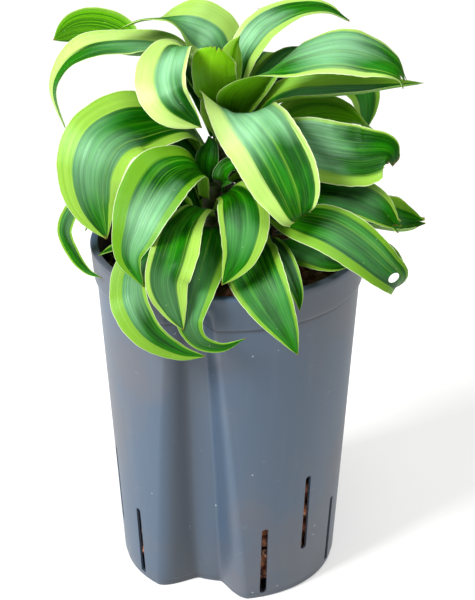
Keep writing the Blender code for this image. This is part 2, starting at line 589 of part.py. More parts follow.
def add_pebbles(group, holes, material):
    side = WALL + 2.0 * GAP
    top_radius = body_radius(POT_HEIGHT - COLLAR_HEIGHT) - side
    rings = [(top_radius * ring / PEBBLE_RINGS, PEBBLE_LEVEL) for ring in range(PEBBLE_RINGS + 1)]
    profile = rings + [
        (body_radius(120.0) - side, 120.0),
        (body_radius(60.0) - side, 60.0),
        (body_radius(FLOOR) - side - 1.0, FLOOR + GAP),
        (0.0, FLOOR + GAP),
    ]
    mesh = turn("clay_pebbles", profile, group)
    press_flute(mesh)
    places = pebble_places()
    for vertex in mesh.vertices:
        if vertex.co.z > (PEBBLE_LEVEL - 1.0) * MM:
            vertex.co.z += pebble_height(vertex.co.x / MM, vertex.co.y / MM, places) * MM
    bed = add_object("clay_pebbles", mesh, group, material)
    cut = bed.modifiers.new("Stem holes", "BOOLEAN")
    cut.operation = "DIFFERENCE"
    cut.operand_type = "COLLECTION"
    cut.collection = holes
    cut.solver = "EXACT"
    shade(mesh, 60.0)
    return bed


# The stems

def stem_axis(stem, height):
    """The point of the stem's axis at a height: it leans evenly from the pebbles to its head."""
    spec = STEMS[stem]
    foot = Vector((*spec["foot"], PEBBLE_LEVEL))
    head = Vector(spec["head"])
    ratio = max((height - foot.z) / (head.z - foot.z), 0.0)
    point = foot.lerp(head, ratio)
    point.z = height
    return point


def add_stem(stem, group, holes, material):
    spec = STEMS[stem]
    levels = [STEM_FOOT, PEBBLE_LEVEL, spec["head"][2] - STEM_END, spec["head"][2]]
    radii = [spec["radius"], spec["radius"], spec["radius"], spec["radius"] * STEM_END_SHARE]
    shape = bmesh.new()
    bmesh.ops.create_cone(
        shape, cap_ends=True, segments=STEM_SIDES, radius1=1.0, radius2=1.0, depth=2.0,
    )
    upright = [edge for edge in shape.edges if abs(edge.verts[0].co.z - edge.verts[1].co.z) > 1.0]
    bmesh.ops.subdivide_edges(shape, edges=upright, cuts=len(levels) - 2)
    for vertex in shape.verts:
        row = round((vertex.co.z + 1.0) / 2.0 * (len(levels) - 1))
        centre = stem_axis(stem, levels[row])
        vertex.co = (centre + Vector((vertex.co.x, vertex.co.y, 0.0)) * radii[row]) * MM
    mesh = bpy.data.meshes.new("stem_" + stem)
    shape.to_mesh(mesh)
    shape.free()
    shade(mesh, 50.0)
    add_object("stem_" + stem, mesh, group, material)

    hole = bmesh.new()
    depth = POT_HEIGHT - STEM_FOOT
    reach = (spec["radius"] + GAP) / math.cos(math.pi / STEM_SIDES)
    bmesh.ops.create_cone(
        hole, cap_ends=True, segments=STEM_SIDES, radius1=reach * MM, radius2=reach * MM,
        depth=depth * MM,
    )
    hole_mesh = bpy.data.meshes.new("hole_" + stem)
    hole.to_mesh(hole_mesh)
    hole.free()
    cutter = add_object("hole_" + stem, hole_mesh, holes)
    cutter.location = (spec["foot"][0] * MM, spec["foot"][1] * MM, (STEM_FOOT - GAP + depth / 2) * MM)
    cutter.hide_render = True
    cutter.display_type = "WIRE"


# The leaves

def curve_points(points, count):
    """Evenly spaced points on a smooth curve through the given ones."""
    ends = [points[0] * 2 - points[1]] + points + [points[-1] * 2 - points[-2]]
    dense = []
    for index in range(1, len(ends) - 2):
        before, start, end, after = ends[index - 1:index + 3]
        for step in range(CURVE_STEPS):
            t = step / CURVE_STEPS
            dense.append(0.5 * (
                2 * start + (end - before) * t + (2 * before - 5 * start + 4 * end - after) * t * t
                + (3 * start - before - 3 * end + after) * t * t * t
            ))
    dense.append(points[-1])
    lengths = [0.0]
    for first, second in zip(dense, dense[1:]):
        lengths.append(lengths[-1] + (second - first).length)
    result = []
    segment = 0
    for row in range(count + 1):
        target = lengths[-1] * row / count
        while segment < len(dense) - 2 and lengths[segment + 1] < target:
            segment += 1
        span = lengths[segment + 1] - lengths[segment]
        result.append(dense[segment].lerp(dense[segment + 1], (target - lengths[segment]) / span))
    return result


def list_value(values, ratio):
    """A value between the entries of a list that are spread evenly from 0 to 1."""
    place = ratio * (len(values) - 1)
    index = min(int(place), len(values) - 2)
    return values[index].lerp(values[index + 1], place - index)


def leaf_half_width(spec, ratio):
    """Narrow where it clasps the stem, widest at its belly, and drawn out to a point."""
    base = spec.get("base", 0.4)
    belly = spec.get("belly", 0.5)
    opening = blend(base, 1.0, smooth_step(0.0, spec.get("open", belly), ratio))
    closing = max((ratio - belly) / (1.0 - belly), 0.0) ** spec.get("taper", 2.0)
    return max(spec["width"] * opening * (1.0 - closing), spec.get("end", TIP_HALF_WIDTH))


def leaf_points(spec, rows, columns):
    """The leaf's middle surface: a grid that follows the midrib, cupped and waved by formula."""
    stem = STEMS[spec["stem"]]
    axis = stem_axis(spec["stem"], spec["height"])
    path = [Vector(point) for point in spec["path"]]
    out = Vector((path[0].x - axis.x, path[0].y - axis.y, 0.0)).normalized()
    seat = stem["radius"] + GAP + LEAF_THICKNESS / 2 + ROOT_CLEARANCE
    root = axis + out * seat
    midrib = curve_points([root] + path, rows)
    faces = [Vector(face).normalized() for face in spec["face"]]
    root_face = -out * 0.8 + Vector((0.0, 0.0, 0.6))
    amount, count, phase = spec["wave"]
    minus, plus = spec.get("sides", (1, 1))
    grid = []
    for row, point in enumerate(midrib):
        ratio = row / rows
        ahead = midrib[min(row + 1, rows)]
        behind = midrib[max(row - 1, 0)]
        along = (ahead - behind).normalized()
        face = root_face.lerp(list_value(faces, ratio), smooth_step(0.0, 0.3, ratio))
        face = (face - along * face.dot(along)).normalized()
        across = along.cross(face)
        half = leaf_half_width(spec, ratio)
        cup = blend(spec.get("root_cup", spec["cup"]), spec["cup"], smooth_step(0.2, 0.5, ratio))
        cup *= smooth_step(0.0, 0.2, ratio)
        line = []
        for column in range(columns + 1):
            t = 2.0 * column / columns - 1.0
            turn_phase = phase + (RUFFLE_LAG if t > 0 else 0.0)
            ruffle = amount * t * t * math.sin(2.0 * math.pi * count * ratio + turn_phase)
            ruffle *= half / spec["width"]
            reach = half * (plus if t > 0 else minus) * t
            line.append(point + across * reach + face * (half * cup * t * t + ruffle))
        grid.append(line)
    return grid


def add_leaf(name, spec, group, material):
    small = spec.get("small", False)
    rows = SMALL_ROWS if small else LEAF_ROWS
    columns = SMALL_COLUMNS if small else LEAF_COLUMNS
    grid = leaf_points(spec, rows, columns)
    shape = bmesh.new()
    vertices = [[shape.verts.new(point * MM) for point in line] for line in grid]
    for row in range(rows):
        for column in range(columns):
            shape.faces.new((
                vertices[row][column], vertices[row][column + 1],
                vertices[row + 1][column + 1], vertices[row + 1][column],
            ))
    bmesh.ops.triangulate(shape, faces=shape.faces)
    mesh = bpy.data.meshes.new(name)
    shape.to_mesh(mesh)
    shape.free()
    shade(mesh, 70.0)
    leaf = add_object(name, mesh, group, material)
    solid = leaf.modifiers.new("Thickness", "SOLIDIFY")
    solid.thickness = LEAF_THICKNESS * MM
    solid.offset = 0.0
    return leaf


def main():
    clear_scene()
    group = make_collection(COLLECTION)
    cutters = make_collection(CUTTERS)
    holes = make_collection(CUTTERS + "_holes")
    plastic = make_material("pot_plastic", (0.105, 0.135, 0.165), 0.45)
    clay = make_material("clay", (0.20, 0.09, 0.05), 0.9)
    bark = make_material("stem_bark", (0.16, 0.18, 0.06), 0.7)
    blade = make_material("leaf_blade", (0.12, 0.34, 0.05), 0.35)
    add_pot(group, cutters, plastic)
    for stem in STEMS:
        add_stem(stem, group, holes, bark)
    add_pebbles(group, holes, clay)
    for name, spec in LEAVES.items():
        add_leaf(name, spec, group, blade)


main()
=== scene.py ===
import json
import math

import bmesh
import bpy
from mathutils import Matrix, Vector, noise

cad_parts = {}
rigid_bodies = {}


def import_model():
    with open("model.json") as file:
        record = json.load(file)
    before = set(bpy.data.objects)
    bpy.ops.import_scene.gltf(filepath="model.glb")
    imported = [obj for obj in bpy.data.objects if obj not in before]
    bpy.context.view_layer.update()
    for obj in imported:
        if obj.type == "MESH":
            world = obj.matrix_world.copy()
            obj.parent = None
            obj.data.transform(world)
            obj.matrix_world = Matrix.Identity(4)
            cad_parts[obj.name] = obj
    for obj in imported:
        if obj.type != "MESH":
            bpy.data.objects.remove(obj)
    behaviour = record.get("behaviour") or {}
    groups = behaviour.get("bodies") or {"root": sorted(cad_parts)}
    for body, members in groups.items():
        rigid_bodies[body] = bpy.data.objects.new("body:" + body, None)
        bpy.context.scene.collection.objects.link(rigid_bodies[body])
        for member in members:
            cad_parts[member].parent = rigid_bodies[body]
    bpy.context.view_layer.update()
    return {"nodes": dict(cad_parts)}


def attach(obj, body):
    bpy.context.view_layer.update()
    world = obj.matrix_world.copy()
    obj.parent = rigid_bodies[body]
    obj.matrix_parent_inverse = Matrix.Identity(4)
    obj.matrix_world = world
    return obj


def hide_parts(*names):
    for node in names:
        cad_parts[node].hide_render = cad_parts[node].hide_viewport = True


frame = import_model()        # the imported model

mm = 0.001
scene = bpy.context.scene
print("frame loaded with", len(frame["nodes"]), "nodes")


# small helpers

def blend(a, b, share):
    return a + (b - a) * share


def smooth(low, high, value):
    share = min(max((value - low) / (high - low), 0), 1)
    return share * share * (3 - 2 * share)


def paint(red, green, blue):
    # a screen colour, 0 to 255, as the linear one that nodes take
    parts = [c / 255 for c in (red, green, blue)]
    return tuple(c / 12.92 if c <= 0.04045 else ((c + 0.055) / 1.055) ** 2.4 for c in parts) + (1,)


def put(tree, kind, sockets=None, **settings):
    # adds a node; a socket given as a value is wired, anything else is typed in
    made = tree.nodes.new(kind)
    for key, value in settings.items():
        setattr(made, key, value)
    for key, value in (sockets or {}).items():
        if isinstance(value, bpy.types.NodeSocket):
            tree.links.new(value, made.inputs[key])
        else:
            made.inputs[key].default_value = value
    return made


def calc(tree, what, *values):
    return put(tree, "ShaderNodeMath", dict(enumerate(values)), operation=what).outputs[0]


def times(tree, *values):
    return calc(tree, "MULTIPLY", *values)


def vector(tree, what, *values):
    return put(tree, "ShaderNodeVectorMath", dict(enumerate(values)), operation=what).outputs[0]


def scaled(tree, direction, size):
    return put(tree, "ShaderNodeVectorMath", {0: direction, "Scale": size}, operation="SCALE").outputs[0]


def ease(tree, value, low, high):
    # 0 below low, 1 above high, smooth between them
    sockets = {"Value": value, "From Min": low, "From Max": high}
    return put(tree, "ShaderNodeMapRange", sockets, interpolation_type="SMOOTHSTEP").outputs[0]


def joined(tree, x=0.0, y=0.0, z=0.0):
    return put(tree, "ShaderNodeCombineXYZ", {0: x, 1: y, 2: z}).outputs[0]


def cloud(tree, place, scale=1.0, detail=2.0, roughness=0.5):
    sockets = {"Vector": place, "Scale": scale, "Detail": detail, "Roughness": roughness}
    return put(tree, "ShaderNodeTexNoise", sockets).outputs[0]


def tint(tree, share, under, over, how="MIX"):
    made = put(tree, "ShaderNodeMix", {0: share, 6: under, 7: over}, data_type="RGBA", blend_type=how)
    return made.outputs[2]


def trait(tree, name):
    return put(tree, "ShaderNodeAttribute", attribute_name=name).outputs["Fac"]


def newSkin(name):
    skin = bpy.data.materials.new(name)
    skin.use_nodes = True
    return skin, skin.node_tree, skin.node_tree.nodes["Principled BSDF"]


def grown(name, start, tree, choices):
    # runs a node tree on a mesh and keeps what comes out as a plain mesh
    thing = bpy.data.objects.new(name, start)
    scene.collection.objects.link(thing)
    worker = thing.modifiers.new("grow", "NODES")
    worker.node_group = tree
    for item in tree.interface.items_tree:
        if item.name in choices:
            worker[item.identifier] = choices[item.name]
    graph = bpy.context.evaluated_depsgraph_get()
    finished = bpy.data.meshes.new_from_object(
        thing.evaluated_get(graph), preserve_all_data_layers=True, depsgraph=graph)
    finished.name = name
    thing.modifiers.clear()
    thing.data = finished
    return thing


def cutAway(piece, shapes):
    # takes the given closed shapes, in mm, out of a piece and keeps the rest as a plain mesh
    cutters = bpy.data.collections.new("cutters")
    for shape in shapes:
        bar = bpy.data.meshes.new("cutter")
        bmesh.ops.scale(shape, vec=(mm, mm, mm), verts=shape.verts)
        shape.to_mesh(bar)
        shape.free()
        cutters.objects.link(bpy.data.objects.new("cutter", bar))
    cut = piece.modifiers.new("cut", "BOOLEAN")
    cut.operand_type, cut.collection, cut.solver = "COLLECTION", cutters, "EXACT"
    graph = bpy.context.evaluated_depsgraph_get()
    finished = bpy.data.meshes.new_from_object(
        piece.evaluated_get(graph), preserve_all_data_layers=True, depsgraph=graph)
    finished.name = piece.name
    piece.modifiers.clear()
    for bar in list(cutters.objects):
        bpy.data.objects.remove(bar)
    bpy.data.collections.remove(cutters)
    piece.data = finished


def newTree(name, inputs):
    tree = bpy.data.node_groups.new(name, "GeometryNodeTree")
    tree.interface.new_socket("Geometry", in_out="INPUT", socket_type="NodeSocketGeometry")
    tree.interface.new_socket("Geometry", in_out="OUTPUT", socket_type="NodeSocketGeometry")
    for label, (kind, value) in inputs.items():
        socket = tree.interface.new_socket(label, in_out="INPUT", socket_type="NodeSocket" + kind)
        if value is not None:
            socket.default_value = value
    return tree, tree.nodes.new("NodeGroupInput").outputs, tree.nodes.new("NodeGroupOutput").inputs


# the pot

pot = {
    "height": 190, "rim": 73, "lip": 4.5, "collarFoot": 71.2, "collarLow": 171,
    "bodyTop": 69.8, "base": 58, "step": 3.6, "wall": 1.4, "floor": 2.4, "columns": 288,
    "fluteAt": -106, "fluteFull": 176, "fluteTop": 184, "fluteDepths": (18, 8.5),
    "fluteAngles": (27, 11.5), "fluteShare": 60, "fluteFlat": 0.3,
    "slots": 13, "slotPitch": 24, "firstSlot": -71.3, "slotWidth": 4,
    "lowSlot": (3, 45.5), "highSlot": (24.5, 71.5),
}
plastic = {
    "body": paint(62, 80, 100), "warm": paint(78, 82, 92), "scuff": paint(108, 122, 136),
    "speck": paint(176, 184, 190), "shade": paint(40, 46, 54), "darkerLow": paint(70, 74, 80),
    "roughness": 0.4,
}


def plasticSkin():
    skin, tree, shader = newSkin("potPlastic")
    place = put(tree, "ShaderNodeTexCoord").outputs["Object"]
    parts = put(tree, "ShaderNodeSeparateXYZ", {0: place}).outputs
    # slow patches, upright streaks, light scuffs and a few specks
    patches = cloud(tree, place, 14.0, 3.0)
    colour = tint(tree, ease(tree, patches, 0.42, 0.68), plastic["body"], plastic["warm"])
    uprights = cloud(tree, vector(tree, "MULTIPLY", place, (160.0, 160.0, 9.0)), 1.0, 3.0)
    uprights = times(tree, ease(tree, uprights, 0.5, 0.75), 0.06)
    colour = tint(tree, uprights, colour, plastic["scuff"])
    rubs = cloud(tree, vector(tree, "MULTIPLY", place, (90.0, 90.0, 300.0)), 1.0, 5.0, 0.62)
    rubs = times(tree, ease(tree, rubs, 0.64, 0.74), 0.3)
    colour = tint(tree, rubs, colour, plastic["scuff"])
    dots = put(tree, "ShaderNodeTexVoronoi", {"Vector": place, "Scale": 150.0})
    few = ease(tree, put(tree, "ShaderNodeSeparateColor", {0: dots.outputs["Color"]}).outputs[0], 0.82, 0.86)
    near = ease(tree, dots.outputs["Distance"], 0.09, 0.05)
    specks = times(tree, times(tree, few, near), 0.7)
    colour = tint(tree, specks, colour, plastic["speck"])
    # painted shade: the wall is darker where it sinks into the flute, and most on the flute's left
    foot, taper = pot["base"] * mm, (pot["bodyTop"] - pot["base"]) / pot["collarLow"]
    radius = put(tree, "ShaderNodeVectorMath", {0: vector(tree, "MULTIPLY", place, (1.0, 1.0, 0.0))},
                 operation="LENGTH").outputs["Value"]
    fluteShade = calc(tree, "SUBTRACT", calc(tree, "MULTIPLY_ADD", parts[2], taper, foot), radius)
    fluteShadeLeft = calc(tree, "MULTIPLY_ADD", ease(tree, parts[0], -0.008, -0.022), 0.5, 0.12)
    fluteShade = times(tree, ease(tree, fluteShade, 0.001, 0.008), fluteShadeLeft)
    colour = tint(tree, fluteShade, colour, plastic["shade"])
    # darker towards the bottom, and painted shade on the collar and on the ledge below it
    low, top = pot["collarLow"], pot["height"]

    def band(start, full, fade, end):
        # 1 from the height full up to fade, in mm, and 0 outside start to end
        rising = ease(tree, parts[2], start * mm, full * mm)
        return times(tree, rising, ease(tree, parts[2], end * mm, fade * mm))

    colour = tint(tree, times(tree, ease(tree, parts[2], 0.02, 0.0), 0.25), colour, plastic["darkerLow"])
    collar = band(low - 1, low + 1, top - 2, top - 0.5)
    colour = tint(tree, times(tree, collar, 0.22), colour, plastic["shade"])
    # painted shade: a dark line on the ledge under the collar
    ledgeShade = band(low - 2.8, low - 1, low - 0.2, low + 0.6)
    colour = tint(tree, times(tree, ledgeShade, 0.6), colour, plastic["shade"])
    tree.links.new(colour, shader.inputs["Base Color"])
    rough = calc(tree, "MULTIPLY_ADD", patches, 0.16, plastic["roughness"] - 0.08)
    tree.links.new(rough, shader.inputs["Roughness"])
    grain = cloud(tree, place, 900.0, 2.0)
    bump = put(tree, "ShaderNodeBump", {"Strength": 0.06, "Distance": 0.0004, "Height": grain})
    tree.links.new(bump.outputs[0], shader.inputs["Normal"])
    return skin


def bodyRadius(height):
    return blend(pot["base"], pot["bodyTop"], height / pot["collarLow"])


def turned(profile, columns):
    # a closed shape of revolution; the columns bunch up in the flute once it is pressed
    shape = bmesh.new()
    rows = []
    for radius, height in profile:
        if radius == 0:
            rows.append([shape.verts.new((0, 0, height))])
            continue
        turns = [2 * math.pi * k / columns for k in range(columns)]
        rows.append([shape.verts.new((radius * math.cos(a), radius * math.sin(a), height)) for a in turns])
    for low, high in zip(rows, rows[1:]):
        for k in range(columns):
            after = (k + 1) % columns
            corners = [low[k % len(low)], low[after % len(low)], high[after % len(high)], high[k % len(high)]]
            kept = list(dict.fromkeys(corners))
            if len(kept) > 2:
                shape.faces.new(kept)
    bmesh.ops.recalc_face_normals(shape, faces=shape.faces)
    return shape


def pressFlute(shape):
    for corner in shape.verts:
        radius, height = math.hypot(corner.co.x, corner.co.y), corner.co.z
        column = math.degrees(math.atan2(corner.co.y, corner.co.x))
        level = min(max(height / pot["fluteFull"], 0), 1)
        half = blend(*pot["fluteAngles"], level)
        place = abs(column) / pot["fluteShare"]
        turn, weight = half * place, 1 - smooth(pot["fluteFlat"], 1, place)
        if place > 1:
            spread = (180 - half) / (180 - pot["fluteShare"])
            turn = half + (abs(column) - pot["fluteShare"]) * spread
        depth = blend(*pot["fluteDepths"], level) * (1 - smooth(pot["fluteFull"], pot["fluteTop"], height))
        depth *= smooth(0, pot["base"] / 2, radius)
        angle = math.radians(pot["fluteAt"] + math.copysign(turn, column))
        reach = radius - depth * weight
        corner.co = Vector((reach * math.cos(angle), reach * math.sin(angle), height))


def meshOf(shape, name, size=mm):
    if size != 1:
        bmesh.ops.scale(shape, vec=(size, size, size), verts=shape.verts)
    made = bpy.data.meshes.new(name)
    shape.to_mesh(made)
    shape.free()
    return made


def steps(start, end, count):
    return [blend(start, end, k / count) for k in range(count)]


def potProfile():
    # radius and height from the middle of the floor up the inside, over the lip and down to the foot
    wall, top, low, rim = pot["wall"], pot["height"], pot["collarLow"], pot["rim"]
    mouth, collar, foot, step = rim - pot["lip"], pot["collarFoot"], pot["base"], pot["step"]
    slope = (rim - collar) / (top - low)
    inner = [(0, pot["floor"]), (bodyRadius(pot["floor"]) - wall - 1, pot["floor"])]
    inner += [(bodyRadius(h) - wall, h) for h in steps(6, low, 22)] + [(bodyRadius(low) - wall, low)]
    inner += [(mouth - 0.6, 176), (mouth - 0.5, 180), (mouth - 0.4, 184), (mouth, top - 1)]
    lip = [(mouth + 0.15, top - 0.5), (mouth + 0.45, top - 0.15), (mouth + 0.9, top),
           (rim - 1.6, top), (rim - 0.8, top - 0.08), (rim - 0.3, top - 0.35), (rim, top - 1.1)]
    outer = [(rim - slope * (top - h), h) for h in range(186, 172, -2)]
    outer += [(collar + 0.05, low + 1), (collar - 0.15, low + 0.4), (collar - 0.6, low),
              (bodyRadius(low) - 0.1, low - 0.2)]
    outer += [(bodyRadius(h), h) for h in steps(169, step + 0.8, 34)] + [(bodyRadius(step + 0.8), step + 0.8)]
    outer += [(bodyRadius(step) - 0.1, step + 0.3), (bodyRadius(step) - 0.65, step), (foot - 0.5, step - 0.5),
              (foot - 0.6, 1), (foot - 0.9, 0.4), (foot - 1.6, 0), (0, 0)]
    return inner + lip + outer


def slotCutter(azimuth, low, high):
    # an upright bar with round ends through the wall
    radius, sides, deep = pot["slotWidth"] / 2, 16, 40
    shape = bmesh.new()
    bmesh.ops.create_cone(shape, cap_ends=True, segments=sides, radius1=radius, radius2=radius, depth=deep)
    stretch = (high - low) / 2 - radius
    angle, middle = math.radians(azimuth), (low + high) / 2
    for corner in shape.verts:
        x, y, z = corner.co
        reach, side, up = bodyRadius(middle) + z, y, -x + math.copysign(stretch, -x)
        corner.co = Vector((reach * math.cos(angle) - side * math.sin(angle),
                            reach * math.sin(angle) + side * math.cos(angle), middle + up))
    return shape


def buildPot():
    shape = turned(potProfile(), pot["columns"])
    pressFlute(shape)
    piece = bpy.data.objects.new("cultureTub", meshOf(shape, "cultureTub"))
    scene.collection.objects.link(piece)
    bars = []
    for k in range(pot["slots"]):
        low, high = pot["highSlot"] if k % 2 else pot["lowSlot"]
        bars.append(slotCutter(pot["firstSlot"] + pot["slotPitch"] * k, low, high))
    cutAway(piece, bars)
    finished = piece.data
    finished.materials.clear()
    finished.materials.append(plasticSkin())
    finished.shade_smooth()
    finished.set_sharp_from_angle(angle=math.radians(35))
    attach(piece, "root")
    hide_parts("culture_pot")
    print("pot:", len(finished.polygons), "faces")


buildPot()


# the clay pebbles

pebbles = {
    "level": 171, "sink": 4.1, "spacing": 7.6, "size": (3.4, 4.9), "flat": 0.78, "noise": 0.9, "low": 9,
    "slotsSeenTo": 80, "fluteClear": 32, "seed": 5, "sides": (10, 6),
}
clay = {
    "base": paint(176, 110, 78), "pale": paint(226, 174, 142), "dark": paint(70, 38, 26), "roughness": 0.9,
}


def claySkin():
    skin, tree, shader = newSkin("bakedClay")
    place = put(tree, "ShaderNodeTexCoord").outputs["Object"]
    broad = cloud(tree, place, 90.0, 3.0)
    colour = tint(tree, ease(tree, broad, 0.35, 0.65), clay["dark"], clay["base"])
    pale = cloud(tree, place, 420.0, 3.0)
    colour = tint(tree, times(tree, ease(tree, pale, 0.52, 0.7), 0.7), colour, clay["pale"])
    pores = cloud(tree, place, 1600.0, 2.0)
    colour = tint(tree, ease(tree, pores, 0.42, 0.34), colour, clay["dark"])
    # painted shade: the top of the bed is darker, under the leaves
    bedTopShade = ease(tree, put(tree, "ShaderNodeSeparateXYZ", {0: place}).outputs[2], 0.15, 0.165)
    colour = tint(tree, times(tree, bedTopShade, 0.5), colour, clay["dark"])
    tree.links.new(colour, shader.inputs["Base Color"])
    shader.inputs["Roughness"].default_value = clay["roughness"]
    bump = put(tree, "ShaderNodeBump", {"Strength": 0.5, "Distance": 0.0005, "Height": pores})
    tree.links.new(bump.outputs[0], shader.inputs["Normal"])
    return skin


def pebbleCore():
    # what the pebbles are scattered on: the top of the bed, and the wall behind the slots
    sink = pot["wall"] + pebbles["sink"]
    level, low = pebbles["level"], pebbles["low"]
    profile = [(r, level) for r in (0, 15, 30, 45, bodyRadius(level) - sink)]
    profile += [(bodyRadius(h) - sink, h) for h in (120, pebbles["slotsSeenTo"], 40, low)] + [(0, low)]
    shape = turned(profile, 96)
    pressFlute(shape)
    shape.normal_update()
    core = meshOf(shape, "pebbleBed")
    share = core.attributes.new("scatter", "FLOAT", "FACE")
    for face in core.polygons:
        middle = face.center / mm
        azimuth = math.degrees(math.atan2(middle.y, middle.x))
        fromFlute = abs((azimuth - pot["fluteAt"] + 180) % 360 - 180)
        onTop = middle.z > level - 1
        onWall = low < middle.z < pebbles["slotsSeenTo"] and fromFlute > pebbles["fluteClear"]
        share.data[face.index].value = 1.0 if onTop or onWall else 0.0
    return core


def pebbleTree():
    tree, given, result = newTree("pebbleScatter", {
        "Spacing": ("Float", 0.008), "Smallest": ("Float", 0.0036), "Largest": ("Float", 0.0054),
        "Roughness": ("Float", 0.0009), "Seed": ("Int", 5), "Material": ("Material", None)})
    share = put(tree, "GeometryNodeInputNamedAttribute", {"Name": "scatter"}, data_type="FLOAT").outputs[0]
    spread = put(tree, "GeometryNodeDistributePointsOnFaces", {
        "Mesh": given["Geometry"], "Selection": share, "Distance Min": given["Spacing"],
        "Density Max": 60000.0, "Seed": given["Seed"]}, distribute_method="POISSON")
    ball = put(tree, "GeometryNodeMeshUVSphere", {
        "Segments": pebbles["sides"][0], "Rings": pebbles["sides"][1], "Radius": 1.0})
    twist = put(tree, "FunctionNodeRandomValue", {0: (0, 0, 0), 1: (6.28, 6.28, 6.28), "Seed": 3},
                data_type="FLOAT_VECTOR").outputs[0]
    girth = put(tree, "FunctionNodeRandomValue", {2: given["Smallest"], 3: given["Largest"], "Seed": 7},
                data_type="FLOAT").outputs[1]
    flat = put(tree, "FunctionNodeRandomValue", {0: (pebbles["flat"],) * 3, 1: (1, 1, 1), "Seed": 9},
               data_type="FLOAT_VECTOR").outputs[0]
    placed = put(tree, "GeometryNodeInstanceOnPoints", {
        "Points": spread.outputs[0], "Instance": ball.outputs[0], "Rotation": twist,
        "Scale": scaled(tree, flat, girth)})
    loose = put(tree, "GeometryNodeRealizeInstances", {0: placed.outputs[0]})
    spot = put(tree, "GeometryNodeInputPosition").outputs[0]
    lump = calc(tree, "SUBTRACT", cloud(tree, spot, 240.0, 2.0), 0.5)
    outwards = put(tree, "GeometryNodeInputNormal").outputs[0]
    push = scaled(tree, outwards, times(tree, lump, given["Roughness"]))
    rough = put(tree, "GeometryNodeSetPosition", {"Geometry": loose.outputs[0], "Offset": push})
    both = put(tree, "GeometryNodeJoinGeometry", {0: rough.outputs[0]})
    tree.links.new(given["Geometry"], both.inputs[0])
    smoothed = put(tree, "GeometryNodeSetShadeSmooth", {0: both.outputs[0]})
    dressed = put(tree, "GeometryNodeSetMaterial", {0: smoothed.outputs[0], "Material": given["Material"]})
    tree.links.new(dressed.outputs[0], result[0])
    return tree


bed = grown("pebbleBed", pebbleCore(), pebbleTree(), {
    "Spacing": pebbles["spacing"] * mm, "Smallest": pebbles["size"][0] * mm,
    "Largest": pebbles["size"][1] * mm, "Roughness": pebbles["noise"] * mm,
    "Seed": pebbles["seed"], "Material": claySkin()})
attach(bed, "root")
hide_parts("clay_pebbles")
print("pebbles:", len(bed.data.polygons), "faces")


# the canes

canes = {
    "upper": {"foot": (-2, 8), "head": (-3, 8, 266), "radius": 5.5},
    "front": {"foot": (-10, -20), "head": (-8, -25, 232), "radius": 5},
    "right": {"foot": (17, -8), "head": (20, -16, 226), "radius": 5},
}
caneRings = {
    "low": 160, "soil": 174, "rowHeight": 0.5, "sides": 32, "pitch": 5.5, "swell": 0.22,
    "lump": 0.15, "lumpPitch": 0.35, "sunk": 0.1, "roundEnd": 3,
}
peel = {"green": paint(42, 58, 22), "olive": paint(72, 80, 40), "brown": paint(58, 46, 28)}


def barkSkin():
    skin, tree, shader = newSkin("canePeel")
    place = put(tree, "ShaderNodeTexCoord").outputs["Object"]
    rings = cloud(tree, vector(tree, "MULTIPLY", place, (60.0, 60.0, 420.0)), 1.0, 3.0)
    colour = tint(tree, ease(tree, rings, 0.38, 0.62), peel["green"], peel["olive"])
    blots = cloud(tree, place, 240.0, 3.0)
    colour = tint(tree, ease(tree, blots, 0.6, 0.7), colour, peel["brown"])
    tree.links.new(colour, shader.inputs["Base Color"])
    shader.inputs["Roughness"].default_value = 0.6
    bump = put(tree, "ShaderNodeBump", {"Strength": 0.3, "Distance": 0.0004, "Height": blots})
    tree.links.new(bump.outputs[0], shader.inputs["Normal"])
    return skin


def caneAxis(stem, height):
    foot, head = Vector((*canes[stem]["foot"], caneRings["soil"])), Vector(canes[stem]["head"])
    point = foot.lerp(head, max((height - foot.z) / (head.z - foot.z), 0))
    point.z = height
    return point


caneSkin = barkSkin()
for stem, spec in canes.items():
    shape = bmesh.new()
    top, sides = spec["head"][2], caneRings["sides"]
    rowHeight = caneRings["rowHeight"]
    heights = [caneRings["low"] + rowHeight * k for k in range(int((top - caneRings["low"]) / rowHeight) + 1)]
    rows = []
    for height in heights:
        ring = (height % caneRings["pitch"]) / caneRings["pitch"]
        radius = spec["radius"] - caneRings["swell"] * (1 - ring) ** 2
        radius *= 1 - 0.4 * smooth(top - caneRings["roundEnd"], top, height)
        middle = caneAxis(stem, height)
        row = []
        for k in range(sides):
            angle = 2 * math.pi * k / sides
            out = Vector((math.cos(angle), math.sin(angle), 0))
            lump = noise.noise((middle + out * radius) * caneRings["lumpPitch"]) * caneRings["lump"]
            row.append(shape.verts.new(middle + out * (radius - caneRings["sunk"] + lump)))
        rows.append(row)
    for low, high in zip(rows, rows[1:]):
        for k in range(sides):
            after = (k + 1) % sides
            shape.faces.new((low[k], low[after], high[after], high[k]))
    shape.faces.new(list(reversed(rows[0])))
    shape.faces.new(rows[-1])
    made = meshOf(shape, "cane" + stem.title())
    made.materials.append(caneSkin)
    made.shade_smooth()
    made.set_sharp_from_angle(angle=math.radians(60))
    piece = bpy.data.objects.new(made.name, made)
    scene.collection.objects.link(piece)
    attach(piece, "root")
    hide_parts("stem_" + stem)
print("canes made")
